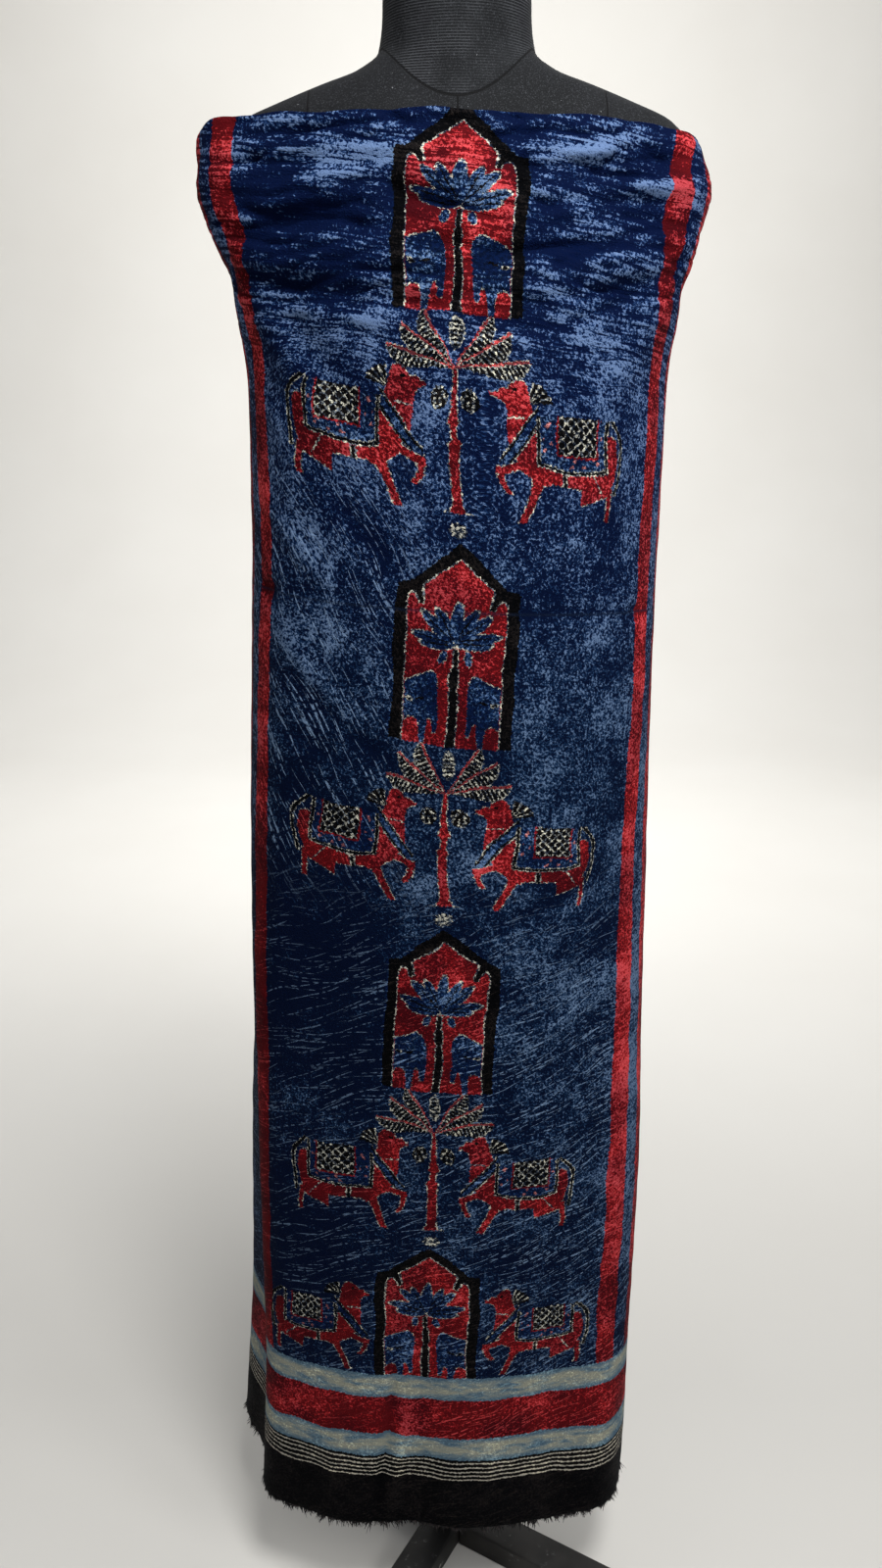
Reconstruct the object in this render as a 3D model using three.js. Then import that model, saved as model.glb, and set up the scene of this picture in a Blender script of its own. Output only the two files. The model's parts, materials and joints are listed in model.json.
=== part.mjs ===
// A length of printed velvet hung on a dress form that stands on a small cross base.
// Millimetres, +Z up. The origin is on the floor under the pole, and the form faces -Y.
import * as THREE from "three";
import { mergeVertices } from "three/addons/utils/BufferGeometryUtils.js";

// Driving dimensions
const GAP = 0.3; // left between pieces that touch
const CLOTH_THICK = 2; // velvet with its pile
const CLOTH_LEFT = 350; // from the middle of the print to the left selvedge
const CLOTH_RIGHT = 360; // from the middle of the print to the right selvedge
const FOLD_HEIGHT = 1512; // the top edge, where the cloth is turned in
const FOLD_SLANT = 0.02; // the top edge lies a little lower towards the right selvedge
const TURN_IN = 40; // how far the turned-in end hangs behind the top edge
const LAYER_PITCH = 2.8; // between the middles of the two layers at the turned-in end
const HEM_HEIGHT = 134; // the raw end, at the middle of the print
const HEM_SLANT = 0.03; // the raw end hangs lower towards the right selvedge
const PRINT_LEAN = 0.03; // the print drifts to the left as it hangs
const PRINT_UPRIGHT_AT = 1380; // the height where the print is on the form's middle
const FORM_BOTTOM = 832;
const FORM_TOP = 1650;
const FORM_SIDES = 36;
const FORM_ROWS = 32;
const NECK_CAP_HEIGHT = 14;
const PLATE_THICK = 12; // the board that closes the form's underside
const PLATE_INSET = 6;
const POLE_RADIUS = 14;
const POLE_SIDES = 24;
const SOCKET_RADIUS = 22; // the sleeve that the pole stands in, and the flange's hub
const SOCKET_HEIGHT = 70;
const SOCKET_CHAMFER = 3;
const FLANGE_RADIUS = 62; // under the plate
const FLANGE_THICK = 5;
const FLANGE_HUB = 45;
const BAR_WIDTH = 40; // the base's box tubes
const BAR_HEIGHT = 30;
const BAR_WALL = 2;
const BASE_SPAN = 400; // across the base, over its tubes
const BASE_TURN = 60; // degrees that the long bar is turned from +X
const PLUG_FLANGE = 4; // the moulded plug in each tube's end
const PLUG_SPIGOT = 16;
const PLUG_EASE = 0.8; // between the spigot and the tube's wall
const PLUG_ROUND = 1.5;

// The section of the hanging cloth at each height, seen from above. The front is a shallow arc that
// has turned by bow degrees where the corner starts. The corner has a radius, and the cloth runs
// straight on once it has turned by turn degrees. Reach is the half width at the corner.
const DRAPE = [
  { z: 100, front: 117, bow: 15, reachL: 222, radiusL: 44, turnL: 79, reachR: 188, radiusR: 60, turnR: 97 },
  { z: 220, front: 116, bow: 17, reachL: 212, radiusL: 45, turnL: 79, reachR: 190, radiusR: 54, turnR: 97 },
  { z: 340, front: 115, bow: 19, reachL: 205, radiusL: 46, turnL: 79.5, reachR: 190.5, radiusR: 50, turnR: 97 },
  { z: 540, front: 115, bow: 20.5, reachL: 203, radiusL: 47, turnL: 81, reachR: 192.5, radiusR: 56, turnR: 97 },
  { z: 720, front: 116, bow: 25, reachL: 201, radiusL: 50, turnL: 85, reachR: 190, radiusR: 76, turnR: 97 },
  { z: 900, front: 117, bow: 29, reachL: 199, radiusL: 80, turnL: 87, reachR: 189, radiusR: 98, turnR: 97 },
  { z: 1060, front: 117, bow: 32, reachL: 194, radiusL: 112, turnL: 90, reachR: 188, radiusR: 114, turnR: 100 },
  { z: 1200, front: 117, bow: 35, reachL: 188, radiusL: 122, turnL: 96, reachR: 189, radiusR: 121, turnR: 104 },
  { z: 1310, front: 116.8, bow: 36, reachL: 186, radiusL: 118, turnL: 104, reachR: 189, radiusR: 117, turnR: 109 },
  { z: 1365, front: 113, bow: 33, reachL: 190, radiusL: 92, turnL: 112, reachR: 194, radiusR: 88, turnR: 114 },
  { z: 1420, front: 106, bow: 27, reachL: 203, radiusL: 60, turnL: 122, reachR: 203, radiusR: 60, turnR: 122 },
  { z: 1465, front: 96, bow: 25, reachL: 218, radiusL: 56, turnL: 131, reachR: 213, radiusR: 56, turnR: 131 },
  { z: 1515, front: 82, bow: 26, reachL: 218, radiusL: 54, turnL: 136, reachR: 198, radiusR: 54, turnR: 136 },
];

// The main folds: where each is centred on the cloth, how it slopes, and its size. A trough has a
// negative lift. Across is measured from the form's middle, round the cloth.
const FOLDS = [
  { across: -120, z: 1476, slope: -0.03, length: 75, width: 9, lift: -3.5 },
  { across: -125, z: 1452, slope: 0.04, length: 70, width: 10, lift: 3 },
  { across: -105, z: 1428, slope: -0.05, length: 85, width: 10, lift: -4 },
  { across: -130, z: 1403, slope: -0.1, length: 70, width: 12, lift: 3.5 },
  { across: -95, z: 1378, slope: -0.12, length: 80, width: 11, lift: -3 },
  { across: 125, z: 1470, slope: 0.06, length: 70, width: 8, lift: -3.5 },
  { across: 130, z: 1446, slope: 0.02, length: 65, width: 8, lift: -4 },
  { across: 115, z: 1424, slope: 0.08, length: 75, width: 10, lift: -3.5 },
  { across: 110, z: 1396, slope: 0.16, length: 70, width: 11, lift: 3 },
  { across: 0, z: 1462, slope: 0, length: 55, width: 9, lift: 2 },
  { across: 5, z: 1408, slope: 0.03, length: 60, width: 10, lift: -2 },
  { across: -225, z: 1402, slope: 0.5, length: 45, width: 16, lift: -4 },
  { across: 215, z: 1392, slope: -0.4, length: 45, width: 17, lift: -3 },
  { across: -150, z: 1335, slope: -1.3, length: 75, width: 16, lift: 4 },
  { across: -112, z: 1318, slope: -1.2, length: 70, width: 16, lift: -4 },
  { across: 150, z: 1330, slope: 1.4, length: 70, width: 18, lift: 3.5 },
];

// Soft upright flutes that start at a top height and grow towards the raw end.
const FLUTES = [
  { across: -118, top: 760, width: 40, lift: 6 },
  { across: -45, top: 600, width: 26, lift: -5 },
  { across: 15, top: 700, width: 34, lift: 2 },
  { across: 108, top: 760, width: 34, lift: -4 },
  { across: 160, top: 420, width: 30, lift: 8 },
  { across: -265, top: 1150, width: 34, lift: -9 },
  { across: -335, top: 1150, width: 38, lift: 12 },
  { across: 265, top: 1150, width: 36, lift: 9 },
  { across: 330, top: 1150, width: 38, lift: -12 },
];
const FLUTE_GROWTH = 1.5; // the power by which a flute grows on its way down

// The form's own sections: half width, and how far it reaches in front and behind.
const FORM = [
  { z: 832, half: 158, front: 96, back: 108 },
  { z: 930, half: 171, front: 102, back: 121 },
  { z: 1000, half: 158, front: 96, back: 110 },
  { z: 1060, half: 136, front: 86, back: 92 },
  { z: 1115, half: 122, front: 79, back: 80 },
  { z: 1165, half: 125, front: 86, back: 80 },
  { z: 1225, half: 135, front: 100, back: 86 },
  { z: 1275, half: 143, front: 112, back: 93 },
  { z: 1312, half: 148, front: 115.3, back: 97 },
  { z: 1350, half: 153, front: 108, back: 101 },
  { z: 1385, half: 166, front: 98, back: 103 },
  { z: 1415, half: 184, front: 90, back: 101 },
  { z: 1445, half: 197, front: 83, back: 97 },
  { z: 1475, half: 201, front: 76, back: 94 },
  { z: 1500, half: 196, front: 68, back: 86 },
  { z: 1518, half: 180, front: 62, back: 78 },
  { z: 1530, half: 152, front: 58, back: 72 },
  { z: 1542, half: 119, front: 55, back: 67 },
  { z: 1553, half: 86, front: 53, back: 63 },
  { z: 1568, half: 65, front: 52, back: 60 },
  { z: 1595, half: 61, front: 52, back: 57 },
  { z: 1650, half: 60, front: 52, back: 56 },
];

// Where the cloth's columns and rows lie: even steps up to each place. The rows are heights at the
// middle of the print.
const COLUMN_STRETCHES = [
  { to: -250, steps: 5 },
  { to: -150, steps: 12 },
  { to: 150, steps: 15 },
  { to: 262, steps: 12 },
  { to: CLOTH_RIGHT, steps: 5 },
];
const ROW_STRETCHES = [
  { to: 1360, steps: 17 },
  { to: 1200, steps: 6 },
  { to: HEM_HEIGHT, steps: 16 },
];
const TURN_STEPS = 4; // round the fold at the top edge
const TURN_IN_STEPS = 3; // down the turned-in end

const inRadians = THREE.MathUtils.degToRad;

// Slopes for a smooth curve through points that never overshoots them.
function gentleSlopes(places, values) {
  const last = places.length - 1;
  const rise = [];
  for (let i = 0; i < last; i += 1) {
    rise.push((values[i + 1] - values[i]) / (places[i + 1] - places[i]));
  }
  return places.map((_, i) => {
    if (i === 0) return rise[0];
    if (i === last) return rise[last - 1];
    const turns = rise[i - 1] * rise[i] <= 0;
    return turns ? 0 : (2 * rise[i - 1] * rise[i]) / (rise[i - 1] + rise[i]);
  });
}

// Reads a column of a table at any height, on a smooth curve through its rows.
function heightReader(rows) {
  const places = rows.map((row) => row.z);
  const slopes = {};
  for (const column of Object.keys(rows[0])) {
    slopes[column] = gentleSlopes(places, rows.map((row) => row[column]));
  }
  return (column, z) => {
    const height = THREE.MathUtils.clamp(z, places[0], places[places.length - 1]);
    let i = 0;
    while (i < places.length - 2 && height > places[i + 1]) i += 1;
    const step = places[i + 1] - places[i];
    const t = (height - places[i]) / step;
    const low = rows[i][column];
    const high = rows[i + 1][column];
    const bendLow = slopes[column][i] * step;
    const bendHigh = slopes[column][i + 1] * step;
    const rest = 1 - t;
    return (
      low * (1 + 2 * t) * rest * rest +
      bendLow * t * rest * rest +
      high * t * t * (3 - 2 * t) -
      bendHigh * t * t * rest
    );
  };
}

const drapeAt = heightReader(DRAPE);
const formAt = heightReader(FORM);

// The cloth's section at one height: its place and heading at a distance round from the middle.
function sectionPoint(across, z) {
  const side = across < 0 ? -1 : 1;
  const letter = across < 0 ? "L" : "R";
  const along = Math.abs(across);
  const bow = inRadians(drapeAt("bow", z));
  const radius = drapeAt("radius" + letter, z);
  const turn = inRadians(drapeAt("turn" + letter, z));
  const frontRadius = (drapeAt("reach" + letter, z) - radius * (1 - Math.sin(bow))) / Math.sin(bow);
  const cornerStart = frontRadius * bow;
  const cornerEnd = cornerStart + radius * (turn - bow);
  const cornerHeading = Math.min(bow + (along - cornerStart) / radius, turn);
  const heading = along < cornerStart ? along / frontRadius : cornerHeading;
  const frontHeading = Math.min(heading, bow);
  let x = frontRadius * Math.sin(frontHeading);
  let y = frontRadius * (1 - Math.cos(frontHeading)) - drapeAt("front", z);
  if (along > cornerStart) {
    x += radius * (Math.sin(heading) - Math.sin(bow));
    y += radius * (Math.cos(bow) - Math.cos(heading));
  }
  if (along > cornerEnd) {
    x += (along - cornerEnd) * Math.cos(turn);
    y += (along - cornerEnd) * Math.sin(turn);
  }
  const outward = new THREE.Vector3(side * Math.sin(heading), -Math.cos(heading), 0);
  return { place: new THREE.Vector3(side * x, y, z), outward };
}

// How far the folds and flutes lift the cloth off its plain section.
function foldLift(across, z) {
  let lift = 0;
  for (const fold of FOLDS) {
    const slant = Math.hypot(1, fold.slope);
    const run = (across - fold.across + (z - fold.z) * fold.slope) / slant;
    const off = (z - fold.z - (across - fold.across) * fold.slope) / slant;
    lift += fold.lift * Math.exp(-((off / fold.width) ** 2) - (run / fold.length) ** 4);
  }
  for (const flute of FLUTES) {
    const growth = THREE.MathUtils.clamp((flute.top - z) / (flute.top - HEM_HEIGHT), 0, 1) ** FLUTE_GROWTH;
    lift += flute.lift * growth * Math.exp(-(((across - flute.across) / flute.width) ** 2));
  }
  return lift;
}

// A point on the middle of the cloth. Print is the distance from the middle of the print, z the
// height at the middle of the print, and inset how far the point lies behind the outer layer.
function clothPoint(print, z, inset, rise) {
  const hung = (FOLD_HEIGHT - z) / (FOLD_HEIGHT - HEM_HEIGHT);
  const height = z - print * THREE.MathUtils.lerp(FOLD_SLANT, HEM_SLANT, hung);
  const across = print + PRINT_LEAN * (height - PRINT_UPRIGHT_AT);
  const { place, outward } = sectionPoint(across, height);
  place.addScaledVector(outward, foldLift(across, height) - inset);
  place.z += rise;
  return place;
}

// Even steps from a start through each stretch.
function steppedPlaces(start, stretches) {
  const places = [start];
  for (const stretch of stretches) {
    const from = places[places.length - 1];
    for (let i = 1; i <= stretch.steps; i += 1) {
      places.push(from + ((stretch.to - from) * i) / stretch.steps);
    }
  }
  return places;
}

// The cloth's rows from the turned-in end, over the fold and down to the raw end.
function clothRows() {
  const rows = [];
  for (let i = TURN_IN_STEPS; i > 0; i -= 1) {
    rows.push({ z: FOLD_HEIGHT - (TURN_IN * i) / TURN_IN_STEPS, inset: LAYER_PITCH, rise: 0 });
  }
  for (let i = 0; i < TURN_STEPS; i += 1) {
    const angle = Math.PI * (1 - i / TURN_STEPS);
    const inset = (LAYER_PITCH / 2) * (1 - Math.cos(angle));
    rows.push({ z: FOLD_HEIGHT, inset, rise: (LAYER_PITCH / 2) * Math.sin(angle) });
  }
  for (const z of steppedPlaces(FOLD_HEIGHT, ROW_STRETCHES)) {
    rows.push({ z, inset: 0, rise: 0 });
  }
  return rows;
}

// A closed sheet of even thickness about a grid of points on its middle.
function sheetGeometry(grid, thick) {
  const rows = grid.length;
  const columns = grid[0].length;
  const points = [];
  for (const side of [1, -1]) {
    for (let r = 0; r < rows; r += 1) {
      for (let c = 0; c < columns; c += 1) {
        const down = grid[Math.min(r + 1, rows - 1)][c].clone().sub(grid[Math.max(r - 1, 0)][c]);
        const right = grid[r][Math.min(c + 1, columns - 1)].clone().sub(grid[r][Math.max(c - 1, 0)]);
        const normal = down.cross(right).normalize();
        points.push(grid[r][c].clone().addScaledVector(normal, (side * thick) / 2));
      }
    }
  }
  const layer = rows * columns;
  const faces = [];
  const addQuad = (a, b, c, d) => faces.push(a, b, c, a, c, d);
  for (let r = 0; r + 1 < rows; r += 1) {
    for (let c = 0; c + 1 < columns; c += 1) {
      const at = r * columns + c;
      addQuad(at, at + columns, at + columns + 1, at + 1);
      addQuad(layer + at, layer + at + 1, layer + at + columns + 1, layer + at + columns);
    }
  }
  const rim = [];
  for (let c = 0; c < columns - 1; c += 1) rim.push(c);
  for (let r = 0; r < rows - 1; r += 1) rim.push(r * columns + columns - 1);
  for (let c = columns - 1; c > 0; c -= 1) rim.push((rows - 1) * columns + c);
  for (let r = rows - 1; r > 0; r -= 1) rim.push(r * columns);
  rim.forEach((at, i) => {
    const next = rim[(i + 1) % rim.length];
    addQuad(at, next, layer + next, layer + at);
  });
  return meshGeometry(points, faces);
}

function meshGeometry(points, faces) {
  const geometry = new THREE.BufferGeometry().setFromPoints(points);
  geometry.setIndex(faces);
  geometry.computeVertexNormals();
  return geometry;
}

function clothGeometry() {
  const columns = steppedPlaces(-CLOTH_LEFT, COLUMN_STRETCHES);
  const grid = clothRows().map((row) =>
    columns.map((print) => clothPoint(print, row.z, row.inset, row.rise)),
  );
  return sheetGeometry(grid, CLOTH_THICK);
}

// One ring of the form, an ellipse that is deeper in front or behind. Inset makes it smaller.
function formRing(z, inset) {
  const half = formAt("half", z) - inset;
  const ring = [];
  for (let i = 0; i < FORM_SIDES; i += 1) {
    const angle = (2 * Math.PI * i) / FORM_SIDES;
    const depth = formAt(Math.sin(angle) < 0 ? "front" : "back", z) - inset;
    ring.push(new THREE.Vector3(half * Math.cos(angle), depth * Math.sin(angle), z));
  }
  return ring;
}

// A closed solid through rings that lie one above another.
function loftGeometry(rings) {
  const sides = rings[0].length;
  const points = rings.flat();
  const faces = [];
  for (let r = 0; r + 1 < rings.length; r += 1) {
    for (let i = 0; i < sides; i += 1) {
      const at = r * sides + i;
      const beside = r * sides + ((i + 1) % sides);
      faces.push(at, beside, beside + sides, at, beside + sides, at + sides);
    }
  }
  const top = (rings.length - 1) * sides;
  for (let i = 1; i + 1 < sides; i += 1) {
    faces.push(0, i + 1, i);
    faces.push(top, top + i, top + i + 1);
  }
  return meshGeometry(points, faces);
}

// The body's rings crowd together over the shoulders, where its width changes fast.
function formGeometry() {
  const heights = FORM.map((row) => row.z);
  const rings = [];
  for (let i = 0; i <= FORM_ROWS; i += 1) {
    const place = (i / FORM_ROWS) * (heights.length - 1);
    const low = Math.min(Math.floor(place), heights.length - 2);
    const z = heights[low] + (place - low) * (heights[low + 1] - heights[low]);
    rings.push(formRing(z, 0));
  }
  return loftGeometry(rings);
}

// A low cap on the neck with a rounded edge. Up is a share of its height.
const NECK_CAP = [
  { up: 0, inset: 1 },
  { up: 0.6, inset: 1 },
  { up: 0.9, inset: 5 },
  { up: 1, inset: 14 },
];
function neckCapGeometry() {
  const rings = NECK_CAP.map(({ up, inset }) => {
    const ring = formRing(FORM_TOP, inset);
    ring.forEach((point) => point.setZ(FORM_TOP + GAP + up * NECK_CAP_HEIGHT));
    return ring;
  });
  return loftGeometry(rings);
}

// The plate that closes the form's underside.
function plateGeometry() {
  const top = FORM_BOTTOM - GAP;
  const rings = [top - PLATE_THICK, top].map((z) => {
    const ring = formRing(FORM_BOTTOM, PLATE_INSET);
    ring.forEach((point) => point.setZ(z));
    return ring;
  });
  return loftGeometry(rings);
}

// A turned piece: pairs of radius and height, from its axis and back to it, or round a bore.
function turnedGeometry(profile) {
  const outline = profile.map(([radius, height]) => new THREE.Vector2(radius, height));
  outline.push(outline[0].clone());
  const geometry = new THREE.LatheGeometry(outline, POLE_SIDES);
  geometry.rotateX(Math.PI / 2);
  geometry.deleteAttribute("normal");
  geometry.deleteAttribute("uv");
  const merged = mergeVertices(geometry, 1e-3);
  merged.computeVertexNormals();
  return merged;
}

// A square-cornered tube along X, centred on the origin and standing on the floor.
function barGeometry(length) {
  const outline = new THREE.Shape();
  outline.moveTo(-BAR_WIDTH / 2, 0);
  outline.lineTo(BAR_WIDTH / 2, 0);
  outline.lineTo(BAR_WIDTH / 2, BAR_HEIGHT);
  outline.lineTo(-BAR_WIDTH / 2, BAR_HEIGHT);
  const bore = new THREE.Path();
  const halfBore = BAR_WIDTH / 2 - BAR_WALL;
  bore.moveTo(-halfBore, BAR_WALL);
  bore.lineTo(-halfBore, BAR_HEIGHT - BAR_WALL);
  bore.lineTo(halfBore, BAR_HEIGHT - BAR_WALL);
  bore.lineTo(halfBore, BAR_WALL);
  outline.holes.push(bore);
  const geometry = new THREE.ExtrudeGeometry(outline, { depth: length, bevelEnabled: false });
  geometry.translate(0, 0, -length / 2);
  geometry.rotateX(Math.PI / 2);
  geometry.rotateZ(Math.PI / 2);
  return geometry;
}

// A moulded plug for a tube's end: a flange outside and a spigot in the bore, pointing along +X.
function plugGeometry() {
  const sections = [
    { x: -PLUG_SPIGOT, inset: BAR_WALL + PLUG_EASE },
    { x: GAP, inset: BAR_WALL + PLUG_EASE },
    { x: GAP, inset: 0 },
    { x: PLUG_FLANGE - PLUG_ROUND, inset: 0 },
    { x: PLUG_FLANGE, inset: PLUG_ROUND },
  ];
  const rings = sections.map(({ x, inset }) => {
    const half = BAR_WIDTH / 2 - inset;
    return [
      new THREE.Vector3(x, -half, inset),
      new THREE.Vector3(x, half, inset),
      new THREE.Vector3(x, half, BAR_HEIGHT - inset),
      new THREE.Vector3(x, -half, BAR_HEIGHT - inset),
    ];
  });
  return loftGeometry(rings);
}

// Finishes
const velvet = new THREE.MeshStandardMaterial({ color: 0x16294f, roughness: 0.85, metalness: 0 });
const jersey = new THREE.MeshStandardMaterial({ color: 0x1b1c1e, roughness: 0.9, metalness: 0 });
const board = new THREE.MeshStandardMaterial({ color: 0x6f5a41, roughness: 0.8, metalness: 0 });
const blackSteel = new THREE.MeshStandardMaterial({ color: 0x1d1c1c, roughness: 0.45, metalness: 0.6 });
const brightSteel = new THREE.MeshStandardMaterial({ color: 0xb9bbbd, roughness: 0.3, metalness: 0.9 });
const greyPlastic = new THREE.MeshStandardMaterial({ color: 0x8d9298, roughness: 0.6, metalness: 0 });

function named(name, geometry, material) {
  const mesh = new THREE.Mesh(geometry, material);
  mesh.name = name;
  return mesh;
}

// The base: one long bar, two short bars against its sides, and a plug in each open end.
function crossBase() {
  const base = new THREE.Group();
  base.rotation.z = inRadians(BASE_TURN);
  base.add(named("base_long_bar", barGeometry(BASE_SPAN), blackSteel));
  const shortLength = (BASE_SPAN - BAR_WIDTH) / 2 - GAP;
  for (let i = 0; i < 4; i += 1) {
    const arm = new THREE.Group();
    arm.rotation.z = (Math.PI / 2) * i;
    if (i % 2) {
      const bar = named(`base_short_bar_${(i + 1) / 2}`, barGeometry(shortLength), blackSteel);
      bar.position.x = BASE_SPAN / 2 - shortLength / 2;
      arm.add(bar);
    }
    const plug = named(`base_plug_${i + 1}`, plugGeometry(), greyPlastic);
    plug.position.x = BASE_SPAN / 2;
    arm.add(plug);
    base.add(arm);
  }
  return base;
}

// The pole stands in a socket on the base and carries a flange under the form's plate.
function poleParts() {
  const bore = POLE_RADIUS + GAP;
  const poleFoot = BAR_HEIGHT + GAP;
  const poleTop = FORM_BOTTOM - GAP - PLATE_THICK - GAP;
  const socketTop = poleFoot + SOCKET_HEIGHT;
  const hubFoot = poleTop - FLANGE_HUB;
  const socket = turnedGeometry([
    [bore, poleFoot],
    [SOCKET_RADIUS, poleFoot],
    [SOCKET_RADIUS, socketTop - SOCKET_CHAMFER],
    [SOCKET_RADIUS - SOCKET_CHAMFER, socketTop],
    [bore, socketTop],
  ]);
  const flange = turnedGeometry([
    [bore, hubFoot],
    [SOCKET_RADIUS, hubFoot],
    [SOCKET_RADIUS, poleTop - FLANGE_THICK],
    [FLANGE_RADIUS, poleTop - FLANGE_THICK],
    [FLANGE_RADIUS, poleTop],
    [bore, poleTop],
  ]);
  const pole = new THREE.CylinderGeometry(POLE_RADIUS, POLE_RADIUS, poleTop - poleFoot, POLE_SIDES);
  pole.rotateX(Math.PI / 2);
  pole.translate(0, 0, (poleTop + poleFoot) / 2);
  return [
    named("pole_socket", socket, blackSteel),
    named("pole", pole, brightSteel),
    named("pole_flange", flange, blackSteel),
  ];
}

const part = new THREE.Group();
part.add(crossBase());
part.add(...poleParts());
part.add(named("form_plate", plateGeometry(), board));
part.add(named("form_body", formGeometry(), jersey));
part.add(named("neck_cap", neckCapGeometry(), blackSteel));
part.add(named("cloth", clothGeometry(), velvet));

export default part;
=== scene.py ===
# %% [markdown]
# # A printed velvet cloth on a dress form
# A length of crushed velvet hangs across the front of a dress form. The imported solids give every
# piece its place and size. This lesson dresses them: the cloth is modelled as a thin sheet with its
# folds, the print is drawn with shader maths, and the form and its stand get their real finishes.

# %% Load the frame
import json
import math
import random

import bmesh
import bpy
import numpy as np
from mathutils import Matrix, Vector, noise


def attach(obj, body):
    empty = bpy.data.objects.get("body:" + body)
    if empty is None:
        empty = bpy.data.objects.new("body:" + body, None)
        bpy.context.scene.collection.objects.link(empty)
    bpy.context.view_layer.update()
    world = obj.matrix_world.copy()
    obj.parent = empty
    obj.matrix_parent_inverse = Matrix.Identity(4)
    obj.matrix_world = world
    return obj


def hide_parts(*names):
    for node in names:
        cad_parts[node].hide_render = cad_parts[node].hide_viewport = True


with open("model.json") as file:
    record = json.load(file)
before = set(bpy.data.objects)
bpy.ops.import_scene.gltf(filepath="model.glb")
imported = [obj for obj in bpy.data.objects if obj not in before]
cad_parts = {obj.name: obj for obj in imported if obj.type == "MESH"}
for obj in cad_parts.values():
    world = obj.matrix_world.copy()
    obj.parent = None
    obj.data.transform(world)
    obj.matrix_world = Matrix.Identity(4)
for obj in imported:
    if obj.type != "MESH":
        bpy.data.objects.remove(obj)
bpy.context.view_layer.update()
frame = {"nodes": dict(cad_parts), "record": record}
print("solids:", sorted(frame["nodes"]))

# %% [markdown]
# The camera stands about a metre in front of the cloth, at chest height, and looks down a little.
# A wide lens takes in the cloth from the neck to the stand. The values come from the print's even
# repeat: it only stays even all the way down if the camera stands here.

# %% Camera
CAMERA_PLACE = (-0.013, -1.095, 1.274)
CAMERA_PITCH = 16.95  # degrees below the horizon
SENSOR = 36.0  # millimetres along the picture's long side
LENS_PIXELS = 1190  # focal length in pixels of a picture 1600 high
PICTURE_HEIGHT = 1600


def add_camera():
    data = bpy.data.cameras.new("camera")
    data.sensor_width = SENSOR
    data.lens = SENSOR * LENS_PIXELS / PICTURE_HEIGHT
    camera = bpy.data.objects.new("camera", data)
    camera.location = CAMERA_PLACE
    camera.rotation_euler = (math.radians(90 - CAMERA_PITCH), 0, 0)
    bpy.context.collection.objects.link(camera)
    bpy.context.scene.camera = camera
    return camera


camera = add_camera()
print("lens", round(camera.data.lens, 2), "mm")

# %% [markdown]
# Shader maths reads best as ordinary expressions. This small class wraps one socket of a material.
# Arithmetic on it adds Math nodes, a comparison gives a mask of 0 or 1, and any other node comes
# from its node method, which sets the settings first and then fills the sockets.

# %% A class for shader maths


def maths(operation):
    """A method that adds one Math node."""
    return lambda self, *terms: self.math(operation, *terms)


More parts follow.
